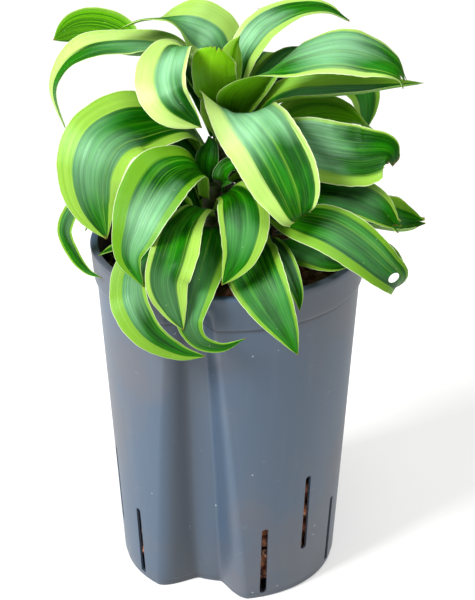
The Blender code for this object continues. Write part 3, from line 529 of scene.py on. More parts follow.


# the leaves

# height of the foot, half width, the midrib's way, and the way that the blade faces along it; base, open,
# belly, taper and end shape the outline, wave is the edge waves' height, number and start, and look is
# the lime margins on the plus and minus sides, stripes, the painted sheen (a painted highlight), the sheen's
# place and the lime's paleness, which partly paints how lit each leaf is
leafPlain = {
    "base": 0.4, "belly": 0.5, "taper": 2, "end": 0.25, "sides": (1, 1), "cup": 0.1,
    "look": (0.16, 0.14, 0.4, 0.2, 0.6, 0.3), "eye": None,
}
leafShapes = {
    # upper head, seen leaves
    "upper_leaf_01": {  # broad leaf in the middle of the front
        "height": 243, "width": 19,
        "path": [(1, -5, 254), (2, -11, 265), (6, -22, 268), (15, -35, 263), (23, -47, 254),
                 (30, -57, 242), (34, -63, 232), (36, -57, 227)],
        "face": [(0.4, 0.2, 1), (0.4, -0.1, 1), (0.1, -0.9, 0.5), (0.2, -1, 0.3), (0.2, -1, 0)],
        "base": 0.25, "open": 0.22, "taper": 4.2, "end": 6.5, "rootCup": 0.4, "cup": 0.1,
        "wave": (1.0, 1.5, 0),
        "look": (0.26, 0.07, 0.5, 0.95, 0.42, 0.75),
    },
    "upper_leaf_02": {  # pale leaf curling down at the left of the head
        "height": 256, "width": 14,
        "path": [(-13, 8, 274), (-18, 8, 287), (-27, 3, 296), (-32, -13, 294), (-33, -26, 287),
                 (-28, -33, 278), (-13, -33, 266)],
        "face": [(0, -0.2, 1), (0, 0, 1), (-0.3, -0.3, 0.9), (-0.3, -0.9, 0.4), (-0.1, -0.9, 0.3)],
        "base": 0.25, "belly": 0.65, "taper": 2.4, "wave": (0.6, 1.5, 1),
        "look": (0.36, 0.06, 0.3, 0.9, 0.6, 0.75),
    },
    "upper_leaf_03": {  # large leaf hanging at the left
        "height": 228, "width": 19,
        "path": [(-14, 3, 244), (-24, 0, 256), (-38, -6, 261), (-54, -12, 261), (-67, -20, 255),
                 (-73, -27, 241), (-71, -31, 223), (-62, -34, 205)],
        "face": [(0, -0.1, 1), (-0.1, -0.2, 1), (-0.5, -0.6, 0.7), (-0.5, -0.8, 0.3), (-0.2, -1, 0)],
        "taper": 2.6, "sides": (1.56, 1), "wave": (0.8, 1.5, 2),
        "look": (0.27, 0.14, 0.6, 0.45, 0.66, 0.38),
    },
    "upper_leaf_04": {  # long leaf arching to the left edge
        "height": 247, "width": 13,
        "path": [(-14, 14, 267), (-23, 17, 283), (-37, 18, 291), (-55, 12, 294), (-71, 5, 294),
                 (-83, 1, 287), (-89, -2, 273), (-83, -4, 252)],
        "face": [(0, -0.1, 1), (0, 0, 1), (-0.2, -0.3, 1), (-0.8, -0.4, 0.5), (-1, -0.3, 0)],
        "base": 0.25, "belly": 0.4, "cup": 0.15, "wave": (1.2, 3, 0),
        "look": (0.42, 0.05, 0.2, 0.5, 0.4, 0.7),
    },
    "upper_leaf_05": {  # back left leaf, its underside to the front
        "height": 243, "width": 12,
        "path": [(-15, 20, 258), (-27, 25, 274), (-38, 31, 281), (-49, 35, 284), (-62, 38, 291),
                 (-78, 40, 292), (-92, 42, 285)],
        "face": [(0, 0.1, 1), (0, 0.1, 1), (0, 0.7, 0.8), (-0.1, 1, 0.1), (-0.4, 0.9, 0)],
        "base": 0.25, "belly": 0.7, "taper": 3, "wave": (0.6, 1.5, 0),
        "look": (0.04, 0.06, 0.2, 0.1, 0.5, 0.4),
    },
    "upper_leaf_06": {  # arch at the top, to the left
        "height": 261, "width": 16,
        "path": [(-4, 21, 274), (-3, 22, 284), (-6, 25, 293), (-15, 26, 299), (-30, 22, 304),
                 (-45, 17, 305), (-55, 12, 302)],
        "face": [(0.3, -0.9, 0.3), (0.4, -0.8, 0.4), (0.4, -0.7, 0.5), (0, 0.3, 0.9), (0, 0.6, 0.8)],
        "base": 0.18, "belly": 0.42, "cup": -0.1, "wave": (0.4, 1, 0),
        "look": (0.36, 0.14, 0.2, 0.6, 0.5, 0.6),
    },
    "upper_leaf_07": {  # arch at the top, to the right
        "height": 253, "width": 11,
        "path": [(5, 13, 271), (7, 15, 283), (12, 17, 293), (20, 20, 301), (34, 26, 306),
                 (50, 30, 306), (63, 32, 299)],
        "face": [(-0.3, -0.6, 0.7), (-0.3, -0.6, 0.7), (-0.1, -0.4, 0.9), (0, -0.1, 1), (0.4, 0, 0.9)],
        "base": 0.2, "taper": 3.5, "end": 2.5, "cup": 0.2, "wave": (0.4, 1.5, 0),
        "look": (0.26, 0.14, 0.7, 0.6, 0.5, 0.6),
    },
    "upper_leaf_08": {  # big leaf to the right
        "height": 254, "width": 17,
        "path": [(5, -3, 264), (9, -7, 274), (15, -11, 283), (23, -13, 290), (38, -16, 298), (56, -19, 303),
                 (72, -20, 300), (84, -22, 294), (89, -22, 285)],
        "face": [(-0.1, 0.9, 0.4), (-0.3, 0.5, 0.9), (0, -0.2, 1), (0.2, -0.4, 0.9), (0.6, -0.3, 0.7)],
        "base": 0.33, "open": 0.22, "taper": 4.5, "end": 5, "rootCup": 0.2, "cup": -0.1,
        "wave": (0.8, 2, 0),
        "look": (0.08, 0.08, 1.0, 0.7, 0.62, 0.6),
    },
    "upper_leaf_09": {  # folded leaf under it, reaching furthest right
        "height": 236, "width": 13,
        "path": [(15, 8, 252), (24, 8, 263), (36, 4, 269), (50, -1, 272), (66, -6, 275),
                 (82, -8, 278), (99, -10, 281)],
        "face": [(0, -0.2, 1), (0, -0.2, 1), (0, -0.2, 1), (0, -0.1, 1), (0, 0, 1)],
        "base": 0.2, "belly": 0.45, "cup": 0.5, "wave": (0.4, 2, 0),
        "look": (0.1, 0.3, 0.3, 0.3, 0.6, 0.3),
    },
    "upper_leaf_10": {  # hanging behind at the right
        "height": 233, "width": 12.5,
        "path": [(8, 18, 256), (21, 25, 269), (38, 31, 275), (60, 35, 270), (72, 37, 256),
                 (73, 38, 235)],
        "face": [(0, 0, 1), (0, 0, 1), (0.3, -0.3, 0.9), (0.8, -0.6, 0.3), (0.5, -0.9, 0)],
        "base": 0.2, "belly": 0.7, "taper": 2.4, "wave": (0.4, 1.5, 0),
    },
    "upper_leaf_11": {  # olive underside at the right
        "height": 230, "width": 12.5,
        "path": [(16, 11, 242), (30, 13, 250), (46, 12, 256), (61, 9, 256), (78, 4, 248)],
        "face": [(0, 0.3, 0.9), (0, 0.8, 0.6), (0.1, 1, 0.2), (0.2, 0.9, 0.4), (0.3, 0.3, 0.9)],
        "base": 0.3, "wave": (0.4, 1.5, 0),
    },
    "upper_leaf_12": {  # right leaf with its tip turned under
        "height": 221, "width": 16,
        "path": [(9, -3, 233), (20, -9, 245), (35, -15, 249), (52, -22, 248), (67, -27, 248),
                 (80, -29, 250), (84, -27, 243)],
        "face": [(0, -0.3, 1), (0, -0.7, 0.8), (0, -0.9, 0.5), (0.1, -0.9, 0.5), (0.6, -0.8, 0.3)],
        "base": 0.25, "belly": 0.6, "taper": 4.5, "end": 6, "wave": (1.0, 2, 0),
        "look": (0.18, 0.05, 0.2, 0.85, 0.5, 0.4),
    },
    "upper_leaf_13": {  # upright young leaf, its back to the front
        "height": 262, "width": 13,
        "path": [(-6, -1, 269), (-8, -4, 281), (-8, -5, 290), (-6, -3, 298)],
        "face": [(0, 1, 0.2), (0, 1, 0), (0, 1, -0.1), (0, 1, -0.2)],
        "base": 0.35, "open": 0.4, "belly": 0.7, "taper": 4, "end": 4, "sides": (0.95, 0.8), "cup": 0.2,
        "wave": (1.2, 1.5, 0),
        "look": (0.03, 0.03, 0.2, 0.9, 0.5, 0.3),
    },
    "upper_leaf_14": {  # youngest leaf in the heart
        "height": 262, "width": 7,
        "path": [(0, 6, 275), (1, 7, 286), (3, 8, 294), (6, 10, 299)],
        "face": [(0, 1, 0.2), (0, 1, 0.3), (0, 1, 0.5)],
        "cup": 0.3, "wave": (0, 1, 0),
        "look": (0.4, 0.3, 0.2, 0.6, 0.5, 0.5),
    },
    "upper_leaf_15": {  # behind the heart, leaning right
        "height": 250, "width": 6,
        "path": [(4, 24, 268), (10, 31, 283), (14, 37, 297), (16, 41, 303)],
        "face": [(-0.2, -0.9, 0.4), (-0.2, -0.7, 0.7), (0, -0.3, 1)],
        "base": 0.25, "wave": (0.2, 1, 0),
    },
    "upper_leaf_16": {  # pale leaf behind the big right one
        "height": 243, "width": 8,
        "path": [(11, 14, 262), (21, 19, 276), (31, 23, 285), (44, 28, 287)],
        "face": [(-0.3, -0.6, 0.7), (-0.2, -0.4, 0.9), (0, 0, 1)],
        "base": 0.25, "wave": (0.2, 1, 0),
    },
    # front head, seen leaves
    "front_leaf_01": {  # large leaf at the front left
        "height": 226, "width": 17,
        "path": [(-14, -30, 241), (-21, -37, 248), (-31, -48, 248), (-39, -57, 239), (-45, -65, 227),
                 (-49, -70, 212), (-42, -73, 197)],
        "face": [(-0.1, -0.6, 0.8), (-0.2, -0.7, 0.7), (-0.3, -0.8, 0.5), (-0.3, -0.9, 0.3),
                 (-0.4, -0.9, 0)],
        "base": 0.25, "belly": 0.45, "taper": 1.7, "wave": (0.8, 1.5, 0),
        "look": (0.26, 0.12, 0.4, 0.5, 0.66, 0.1),
    },
    "front_leaf_02": {  # hanging in the middle, with a thin tail
        "height": 219, "width": 13,
        "path": [(0, -33, 231), (6, -46, 233), (8, -61, 225), (6, -71, 215), (2, -74, 207),
                 (-3, -75, 199)],
        "face": [(0, -0.3, 1), (0, -0.6, 0.8), (0.1, -0.9, 0.4), (0, -1, 0.1), (-0.2, -1, 0)],
        "wave": (0.6, 1.5, 0),
        "look": (0.12, 0.2, 0.3, 0.16, 0.66, 0.4),
    },
    "front_leaf_03": {  # front left, with a crinkled margin
        "height": 216, "width": 12,
        "path": [(-14, -38, 224), (-22, -56, 222), (-27, -75, 214), (-30, -80, 203), (-27, -83, 191),
                 (-22, -85, 179)],
        "face": [(0, -0.3, 1), (-0.1, -0.6, 0.8), (-0.1, -0.9, 0.5), (0, -1, 0.3), (0.1, -1, 0.1)],
        "belly": 0.55, "taper": 2.4, "cup": 0.15, "wave": (0.8, 5, 0),
        "look": (0.1, 0.26, 0.6, 0.2, 0.8, 0.5),
    },
    "front_leaf_04": {  # long leaf over the rim with a curled tail
        "height": 210, "width": 14,
        "path": [(-9, -44, 214), (-12, -60, 209), (-16, -75, 197), (-19, -83, 183), (-14, -85, 173),
                 (-3, -86, 170), (9, -86, 175)],
        "face": [(0, -0.5, 0.9), (0, -0.9, 0.5), (-0.1, -1, 0.2), (-0.1, -1, 0), (-0.1, -1, 0.1)],
        "belly": 0.3, "taper": 1, "wave": (0.6, 2, 0),
        "look": (0.12, 0.18, 0.4, 0.2, 0.6, 0.2),
    },
    "front_leaf_05": {  # left leaf hanging outside the pot
        "height": 203, "width": 12,
        "path": [(-24, -34, 204), (-38, -46, 204), (-48, -57, 198), (-49, -70, 188), (-40, -78, 174),
                 (-25, -79, 164), (-11, -79, 161)],
        "face": [(-0.1, -0.3, 1), (-0.4, -0.7, 0.6), (-0.6, -0.9, 0.2), (-0.4, -1, 0), (-0.1, -1, 0)],
        "wave": (0.6, 1.5, 0),
        "look": (0.34, 0.1, 0.3, 0.5, 0.5, 0.3),
    },
    "front_leaf_06": {  # behind the front left leaf, its underside seen
        "height": 210, "width": 9,
        "path": [(-24, -24, 225), (-42, -29, 230), (-54, -34, 223), (-57, -37, 213)],
        "face": [(0, 0.3, 1), (0.4, 0.4, 0.6), (0.7, 0.5, 0.2)],
        "belly": 0.6, "wave": (0.4, 1, 0),
    },
    "front_leaf_07": {  # dark leaf between the upper and front heads
        "height": 222, "width": 12.3,
        "path": [(-19, -17, 240), (-31, -16, 251), (-44, -20, 253), (-56, -26, 244)],
        "face": [(0, -0.3, 1), (-0.1, -0.4, 0.9), (-0.3, -0.5, 0.8)],
        "base": 0.25, "wave": (0.4, 1, 0),
    },
    "front_leaf_08": {  # narrow twisted leaf hanging at the far left
        "height": 207, "width": 5,
        "path": [(-36, -16, 220), (-58, -18, 222), (-76, -21, 219), (-84, -23, 206), (-80, -27, 194),
                 (-73, -31, 186), (-65, -36, 184)],
        "face": [(0, 0, 1), (-0.5, 0, 0.8), (-0.9, -0.4, 0), (-0.3, -0.9, 0), (0, -1, 0.3)],
        "belly": 0.6, "cup": 0.2, "wave": (0.8, 2, 0),
    },
    "front_leaf_09": {  # short leaf above the rim at the left
        "height": 198, "width": 7,
        "path": [(-32, -20, 203), (-51, -34, 203), (-66, -45, 201)],
        "face": [(0, 0.2, 1), (0, 0.2, 1), (0, 0.2, 1)],
        "cup": 0.2, "wave": (0.4, 1, 0),
    },
    # painted shade: the two young leaves in the front heart have no lime, stripes or sheen, so they stay dark
    "front_leaf_12": {  # young upright leaf in the front heart
        "height": 229, "width": 6,
        "path": [(-11, -18, 241), (-9, -15, 249), (-10, -12, 253)],
        "face": [(0, -1, 0.3), (0, -0.9, 0.4), (0, -0.6, 0.8)],
        "cup": 0.2, "wave": (0.2, 1, 0),
        "look": (-0.1, -0.1, 0, 0, 0.5, 0),
    },
    "front_leaf_13": {  # young dark leaf in the front heart
        "height": 228, "width": 7,
        "path": [(-2, -26, 238), (3, -27, 243), (9, -28, 240)],
        "face": [(0, 0, 1), (0, -0.3, 0.9), (0.3, -0.3, 0.8)],
        "cup": 0.2, "wave": (0.2, 1, 0),
        "look": (-0.1, -0.1, 0, 0, 0.5, 0),
    },
    # right head, seen leaves
    "right_leaf_01": {  # reaching right with a blunt end
        "height": 217, "width": 13,
        "path": [(30, -20, 225), (46, -26, 228), (63, -30, 227), (77, -33, 221), (88, -34, 211)],
        "face": [(0, -0.3, 1), (0, -0.5, 0.9), (0.1, -0.5, 0.9), (0.3, -0.5, 0.8), (0.6, -0.5, 0.6)],
        "taper": 3.2, "end": 4, "wave": (0.6, 1.5, 0),
        "look": (0.06, 0.14, 0.2, 0.2, 0.6, 0.4),
    },
    "right_leaf_02": {  # far right, cupped
        "height": 206, "width": 13.5,
        "path": [(36, -10, 210), (54, -8, 208), (72, -8, 203), (90, -8, 200), (103, -8, 202)],
        "face": [(0, -0.2, 1), (0, -0.3, 1), (0, -0.2, 1)],
        "belly": 0.7, "taper": 3.5, "end": 3, "cup": 0.7, "wave": (0.6, 1.5, 0),
    },
    "right_leaf_03": {  # large leaf at the lower right, its tip rolled under
        "height": 212, "width": 13.5,
        "path": [(25, -34, 217), (37, -48, 221), (52, -56, 220), (66, -60, 212), (78, -60, 201),
                 (86, -54, 191), (84, -46, 184), (74, -42, 184)],
        "face": [(0, -0.5, 0.9), (0.1, -0.7, 0.7), (0.3, -0.8, 0.6), (0.6, -0.7, 0.4), (0.5, -0.6, -0.6)],
        "wave": (0.8, 1.5, 0),
        "look": (0.2, 0.12, 0.5, 0.16, 0.6, 0.25),
        "eye": {"at": (83.8, -55, 193.4), "through": (0.068, 0.899, -0.438), "size": (3.1, 1.9),
                "slant": -42, "deep": 26},
    },
    "right_leaf_04": {  # dark leaf behind it
        "height": 199, "width": 9,
        "path": [(40, -18, 203), (62, -24, 201), (85, -26, 191), (92, -28, 178)],
        "face": [(0, -0.2, 1), (0.2, -0.3, 1), (0.8, -0.4, 0.4)],
        "belly": 0.6, "wave": (0.4, 1, 0),
    },
    "right_leaf_05": {  # dark leaf over the rim at the right
        "height": 195, "width": 12,
        "path": [(28, -30, 200), (41, -42, 201), (52, -48, 198), (61, -48, 196)],
        "face": [(0, -0.2, 1), (0, -0.3, 1), (0, -0.4, 0.9)],
        "wave": (0.4, 1, 0),
    },
    "right_leaf_06": {  # small leaf over the rim at the front
        "height": 199, "width": 6,
        "path": [(22, -40, 206), (27, -55, 204), (32, -65, 197), (35, -71, 191), (36, -74, 184)],
        "face": [(0, -0.4, 0.9), (0, -0.9, 0.5), (0, -1, 0.2)],
        "belly": 0.6, "cup": 0.2, "wave": (0.6, 2, 0),
    },
    "right_leaf_07": {  # front leaf hanging over the rim
        "height": 207, "width": 15,
        "path": [(12, -36, 208), (10, -52, 207), (15, -67.2, 199.4), (22, -78.3, 189.2), (29, -84, 178),
                 (35, -87, 166)],
        "face": [(-0.1, -0.4, 0.9), (-0.1, -0.5, 0.8), (-0.2, -0.9, 0.5), (-0.1, -1, 0.2), (0, -1, 0)],
        "belly": 0.45, "wave": (0.6, 2, 0),
        "look": (0.1, 0.1, 0.3, 0.12, 0.78, 0.3),
    },
    # leaves at the back, which complete the heads
    "upper_leaf_17": {
        "height": 240, "width": 15,
        "path": [(-4, 27, 254), (-10, 46, 266), (-19, 62, 266), (-28, 76, 255), (-33, 84, 239)],
        "face": [(0, -0.3, 1), (0, 0, 1), (-0.3, 0.5, 0.8), (-0.4, 0.8, 0.4), (-0.4, 0.9, 0)],
        "base": 0.2, "wave": (0.8, 1.5, 0),
    },
    "upper_leaf_18": {
        "height": 246, "width": 15,
        "path": [(2, 29, 265), (8, 46, 275), (14, 62, 272), (20, 76, 259), (24, 86, 241)],
        "face": [(0, -0.3, 1), (0, 0, 1), (0.3, 0.5, 0.8), (0.5, 0.8, 0.4), (0.5, 0.8, 0)],
        "base": 0.2, "wave": (0.8, 1.5, 1),
    },
    "upper_leaf_19": {
        "height": 230, "width": 16,
        "path": [(0, 28, 248), (2, 48, 254), (2, 66, 250), (2, 80, 235), (0, 86, 216)],
        "face": [(0, -0.2, 1), (0, 0.1, 1), (0, 0.6, 0.8), (0, 0.9, 0.4), (0, 1, 0)],
        "base": 0.25, "wave": (0.8, 1.5, 2),
    },
    "upper_leaf_20": {
        "height": 222, "width": 15,
        "path": [(-24, 24, 238), (-42, 38, 244), (-58, 50, 238), (-70, 58, 224), (-76, 62, 206)],
        "face": [(0, -0.1, 1), (-0.1, 0.1, 1), (-0.5, 0.5, 0.8), (-0.7, 0.6, 0.4), (-0.8, 0.6, 0)],
        "wave": (0.8, 1.5, 3),
    },
    "upper_leaf_21": {
        "height": 217, "width": 15,
        "path": [(20, 26, 233), (39, 37, 240), (57, 46, 236), (68, 53, 221), (73, 58, 204)],
        "face": [(0, -0.1, 1), (0.1, 0.1, 1), (0.5, 0.5, 0.8), (0.7, 0.6, 0.4), (0.8, 0.6, 0)],
        "wave": (0.8, 1.5, 4),
    },
    "upper_leaf_22": {
        "height": 213, "width": 15,
        "path": [(-8, 28, 221), (-13, 46, 223), (-18, 62, 216), (-22, 74, 203)],
        "face": [(0, 0, 1), (0, 0.2, 1), (-0.2, 0.7, 0.8), (-0.3, 0.9, 0.4)],
        "base": 0.3, "wave": (0.8, 1.5, 1),
    },
    "right_leaf_08": {
        "height": 212, "width": 12,
        "path": [(32, 4, 222), (46, 16, 224), (60, 27, 216), (72, 35, 200), (80, 40, 183)],
        "face": [(0, -0.1, 1), (0.1, 0.1, 1), (0.5, 0.3, 0.8), (0.8, 0.4, 0.4), (0.9, 0.4, 0)],
        "wave": (0.6, 1.5, 0),
    },
    "right_leaf_09": {
        "height": 202, "width": 12,
        "path": [(16, 14, 212), (18, 34, 216), (20, 54, 212), (24, 72, 200), (28, 84, 181)],
        "face": [(0, -0.1, 1), (0, 0.1, 1), (0.1, 0.4, 0.9), (0.1, 0.8, 0.5), (0.1, 0.9, 0)],
        "wave": (0.6, 1.5, 1),
    },
    "front_leaf_10": {
        "height": 200, "width": 12,
        "path": [(-20, 2, 208), (-28, 22, 213), (-36, 42, 210), (-43, 60, 200), (-47, 72, 182)],
        "face": [(0, -0.1, 1), (-0.1, 0.1, 1), (-0.3, 0.5, 0.8), (-0.5, 0.8, 0.4), (-0.5, 0.8, 0)],
        "wave": (0.6, 1.5, 2),
    },
    "front_leaf_11": {
        "height": 194, "width": 11,
        "path": [(-28, -8, 202), (-44, 4, 206), (-59, 16, 204), (-71, 27, 194), (-78, 33, 178)],
        "face": [(0, 0, 1), (-0.1, 0, 1), (-0.4, 0.2, 0.9), (-0.8, 0.4, 0.4), (-0.9, 0.4, 0)],
        "wave": (0.6, 1.5, 3),
    },
}
leafMake = {
    "rowLength": 1.0, "columns": 24, "thickness": 0.7, "crease": 0.5, "pleats": 0.4, "ripple": 1.0,
    "ripplePitch": 13, "ragged": 0.06, "nibble": 0.08, "lag": 2, "curveSteps": 16, "seat": 0.8,
    "fewestRows": 24, "seedStep": 3.7,
}
blade = {
    "deep": paint(3, 54, 0), "green": paint(16, 98, 0), "fresh": paint(70, 140, 14),
    "mintSheen": paint(126, 180, 134), "limeDeep": paint(84, 132, 20), "lime": paint(128, 166, 56),
    "limePale": paint(182, 208, 126), "edge": paint(226, 230, 196), "under": paint(84, 150, 2),
    "underDeep": paint(34, 96, 2), "underLit": paint(112, 168, 14), "brown": paint(140, 96, 50),
    "dust": paint(190, 200, 160), "gloss": (0.62, 1.0, 0.68, 1),
}


def leafSkin():
    # across runs from -1 to 1 over the blade, along from 0 at the foot to 1 at the tip
    skin, tree, shader = newSkin("leafBlade")
    place = put(tree, "ShaderNodeTexCoord").outputs["Object"]
    across, along, seed = trait(tree, "across"), trait(tree, "along"), trait(tree, "seed")
    under = trait(tree, "under")

    def streaks(wide, long, shift, detail=3.0):
        x, y, z = times(tree, across, wide), times(tree, along, long), calc(tree, "ADD", seed, shift)
        return cloud(tree, joined(tree, x, y, z), 1.0, detail, 0.55)

    def part(value, low, high, most):
        return times(tree, ease(tree, value, low, high), most)

    # the green middle: slow bands, fine lines, pale stripes, and a painted mint sheen, a painted highlight,
    # on one stretch of the blade
    broad = streaks(1.2, 2.4, 0.0)
    fine = streaks(15.0, 1.2, 3.0)
    hair = streaks(42.0, 1.4, 61.0, 2.0)
    colour = tint(tree, ease(tree, broad, 0.38, 0.62), blade["deep"], blade["green"])
    colour = tint(tree, part(fine, 0.5, 0.74, 0.45), colour, blade["fresh"])
    colour = tint(tree, part(hair, 0.5, 0.72, 0.3), colour, blade["fresh"])
    colour = tint(tree, part(fine, 0.46, 0.3, 0.6), colour, blade["deep"])
    # painted highlight: the mint sheen, centred on the leaf's sheen place
    off = calc(tree, "ABSOLUTE", calc(tree, "SUBTRACT", along, trait(tree, "sheenPlace")))
    off = calc(tree, "MULTIPLY_ADD", streaks(0.9, 1.5, 21.0), -0.5, calc(tree, "ADD", off, 0.25))
    paintedSheen = times(tree, ease(tree, off, 0.26, 0.02), trait(tree, "paintedSheen"))
    paintedSheen = times(tree, paintedSheen, calc(tree, "MULTIPLY_ADD", fine, 1.2, 0.3))
    colour = tint(tree, paintedSheen, colour, blade["mintSheen"])
    stripes = part(streaks(11.0, 0.6, 9.0, 2.0), 0.6, 0.72, trait(tree, "striped"))
    stripes = times(tree, stripes, calc(tree, "MULTIPLY_ADD", broad, 1.4, -0.1))
    colour = tint(tree, stripes, colour, blade["lime"])
    # lime margins with a streaked border, and a dark band beside them
    fray = times(tree, calc(tree, "SUBTRACT", streaks(11.0, 1.3, 15.0), 0.5), 0.13)
    drift = times(tree, calc(tree, "SUBTRACT", streaks(0.8, 2.6, 33.0, 1.0), 0.5), 0.12)
    fray = calc(tree, "ADD", fray, drift)
    margins = None
    for side, width in ((1.0, trait(tree, "limePlus")), (-1.0, trait(tree, "limeMinus"))):
        inset = calc(tree, "MULTIPLY_ADD", across, -0.5 * side, 0.5)
        inset = calc(tree, "ADD", calc(tree, "SUBTRACT", inset, width), fray)
        colour = tint(tree, part(inset, 0.12, 0.03, 0.3), colour, blade["deep"])
        lime = ease(tree, inset, 0.025, -0.025)
        margins = lime if margins is None else calc(tree, "MAXIMUM", margins, lime)
    limeTone = tint(tree, part(streaks(9.0, 1.2, 27.0), 0.6, 0.36, 0.4), blade["lime"], blade["limeDeep"])
    # the lime varies in streaks, and its paleness per leaf is painted light: paler on the lit upper leaves,
    # darker on the lower ones
    limeTone = tint(tree, ease(tree, trait(tree, "pale"), 0.5, 0.1), limeTone, blade["limeDeep"])
    pale = calc(tree, "MULTIPLY_ADD", ease(tree, streaks(1.4, 1.6, 71.0), 0.4, 0.66), 0.5, 0.5)
    pale = times(tree, pale, ease(tree, trait(tree, "pale"), 0.3, 1.0))
    limeTone = tint(tree, pale, limeTone, blade["limePale"])
    # painted shade: lime and green darker towards the foot of the blade, deep in the head
    limeTone = tint(tree, part(along, 0.24, 0.03, 0.6), limeTone, blade["limeDeep"])
    colour = tint(tree, part(along, 0.22, 0.03, 0.7), colour, blade["deep"])
    upper = tint(tree, margins, colour, limeTone)
    # the underside is olive, with its margins only faint
    back = tint(tree, ease(tree, fine, 0.4, 0.66), blade["underDeep"], blade["under"])
    # painted light: the underside is lighter on leaves with more painted sheen
    lit = times(tree, trait(tree, "paintedSheen"), calc(tree, "ADD", broad, 0.3))
    back = tint(tree, lit, back, blade["underLit"])
    back = tint(tree, times(tree, margins, 0.6), back, blade["lime"])
    whole = tint(tree, under, upper, back)
    # the thin pale edge, dry tip and dust
    rim = ease(tree, calc(tree, "ABSOLUTE", across), 0.965, 0.99)
    whole = tint(tree, times(tree, rim, 0.5), whole, blade["edge"])
    tip = ease(tree, calc(tree, "MULTIPLY_ADD", streaks(4.0, 9.0, 41.0), 0.04, along), 1.0, 1.02)
    whole = tint(tree, times(tree, tip, 0.6), whole, blade["brown"])
    dust = put(tree, "ShaderNodeTexVoronoi", {"Vector": place, "Scale": 420.0})
    rare = ease(tree, put(tree, "ShaderNodeSeparateColor", {0: dust.outputs["Color"]}).outputs[1], 0.9, 0.94)
    dot = ease(tree, dust.outputs["Distance"], 0.12, 0.07)
    dust = times(tree, times(tree, rare, dot), 0.5)
    whole = tint(tree, dust, whole, blade["dust"])
    tree.links.new(whole, shader.inputs["Base Color"])
    rough = calc(tree, "MULTIPLY_ADD", fine, 0.16, 0.3)
    rough = calc(tree, "MULTIPLY_ADD", under, 0.1, rough)
    tree.links.new(rough, shader.inputs["Roughness"])
    lines = calc(tree, "ADD", hair, times(tree, fine, 1.6))
    bump = put(tree, "ShaderNodeBump", {"Strength": 0.28, "Distance": 0.0004, "Height": lines})
    tree.links.new(bump.outputs[0], shader.inputs["Normal"])
    # the painted sheen also raises the real specular level
    tree.links.new(calc(tree, "MULTIPLY_ADD", paintedSheen, 0.5, 0.1), shader.inputs["Specular IOR Level"])
    shader.inputs["Specular Tint"].default_value = blade["gloss"]
    shader.inputs["Subsurface Weight"].default_value = 0.25
    shader.inputs["Subsurface Radius"].default_value = (0.5, 1.0, 0.1)
    shader.inputs["Subsurface Scale"].default_value = 0.0016
    return skin


def curvePoints(points, count):
    # evenly spaced points on a smooth curve through the given ones
    ends = [points[0] * 2 - points[1]] + points + [points[-1] * 2 - points[-2]]
    dense = []
    for k in range(1, len(ends) - 2):
        before, start, end, after = ends[k - 1:k + 3]
        for step in range(leafMake["curveSteps"]):
            t = step / leafMake["curveSteps"]
            dense.append(0.5 * (2 * start + (end - before) * t
                                + (2 * before - 5 * start + 4 * end - after) * t * t
                                + (3 * start - before - 3 * end + after) * t ** 3))
    dense.append(points[-1])
    lengths = [0]
    for first, second in zip(dense, dense[1:]):
        lengths.append(lengths[-1] + (second - first).length)
    result, part = [], 0
    for row in range(count + 1):
        target = lengths[-1] * row / count
        while part < len(dense) - 2 and lengths[part + 1] < target:
            part += 1
        share = (target - lengths[part]) / (lengths[part + 1] - lengths[part])
        result.append(dense[part].lerp(dense[part + 1], share))
    return result, lengths[-1]


def between(values, share):
    place = share * (len(values) - 1)
    k = min(int(place), len(values) - 2)
    return values[k].lerp(values[k + 1], smooth(0, 1, place - k) * 0.4 + (place - k) * 0.6)


def leafSpine(name, stem, spec):
    # the midrib as a chain of points that carry the blade's facing, widths, cup and edge waves
    axis = caneAxis(stem, spec["height"])
    path = [Vector(point) for point in spec["path"]]
    out = Vector((path[0].x - axis.x, path[0].y - axis.y, 0)).normalized()
    root = axis + out * (canes[stem]["radius"] + leafMake["seat"])
    length = curvePoints([root] + path, leafMake["fewestRows"])[1]
    rows = max(leafMake["fewestRows"], int(length / leafMake["rowLength"]))
    midrib = curvePoints([root] + path, rows)[0]
    faces = [Vector(face).normalized() for face in spec["face"]]
    rootFace = -out * 0.8 + Vector((0, 0, 0.6))
    amount, count, phase = spec["wave"]
    belly, width = spec["belly"], spec["width"]
    minus, plus = spec["sides"]
    spine = bpy.data.meshes.new(name)
    spine.from_pydata([point * mm for point in midrib], [(k, k + 1) for k in range(rows)], [])
    facings, girths, waves = [], [], []
    for row, point in enumerate(midrib):
        share = row / rows
        along = (midrib[min(row + 1, rows)] - midrib[max(row - 1, 0)]).normalized()
        face = rootFace.lerp(between(faces, share), smooth(0, 0.3, share))
        face = (face - along * face.dot(along)).normalized()
        opening = blend(spec["base"], 1, smooth(0, spec.get("open", belly), share))
        closing = max((share - belly) / (1 - belly), 0) ** spec["taper"]
        half = max(width * opening * (1 - closing), spec["end"])
        cup = blend(spec.get("rootCup", spec["cup"]), spec["cup"], smooth(0.2, 0.5, share))
        cup *= smooth(0, 0.2, share)
        turn = 2 * math.pi * count * share + phase
        swing = amount * half / width
        facings += face[:]
        girths += (half * minus * mm, half * plus * mm, cup)
        waves += (swing * math.sin(turn) * mm, swing * math.sin(turn + leafMake["lag"]) * mm, 0)
    for label, values in (("facing", facings), ("girth", girths), ("waves", waves)):
        spine.attributes.new(label, "FLOAT_VECTOR", "POINT").data.foreach_set("vector", values)
    return spine, rows


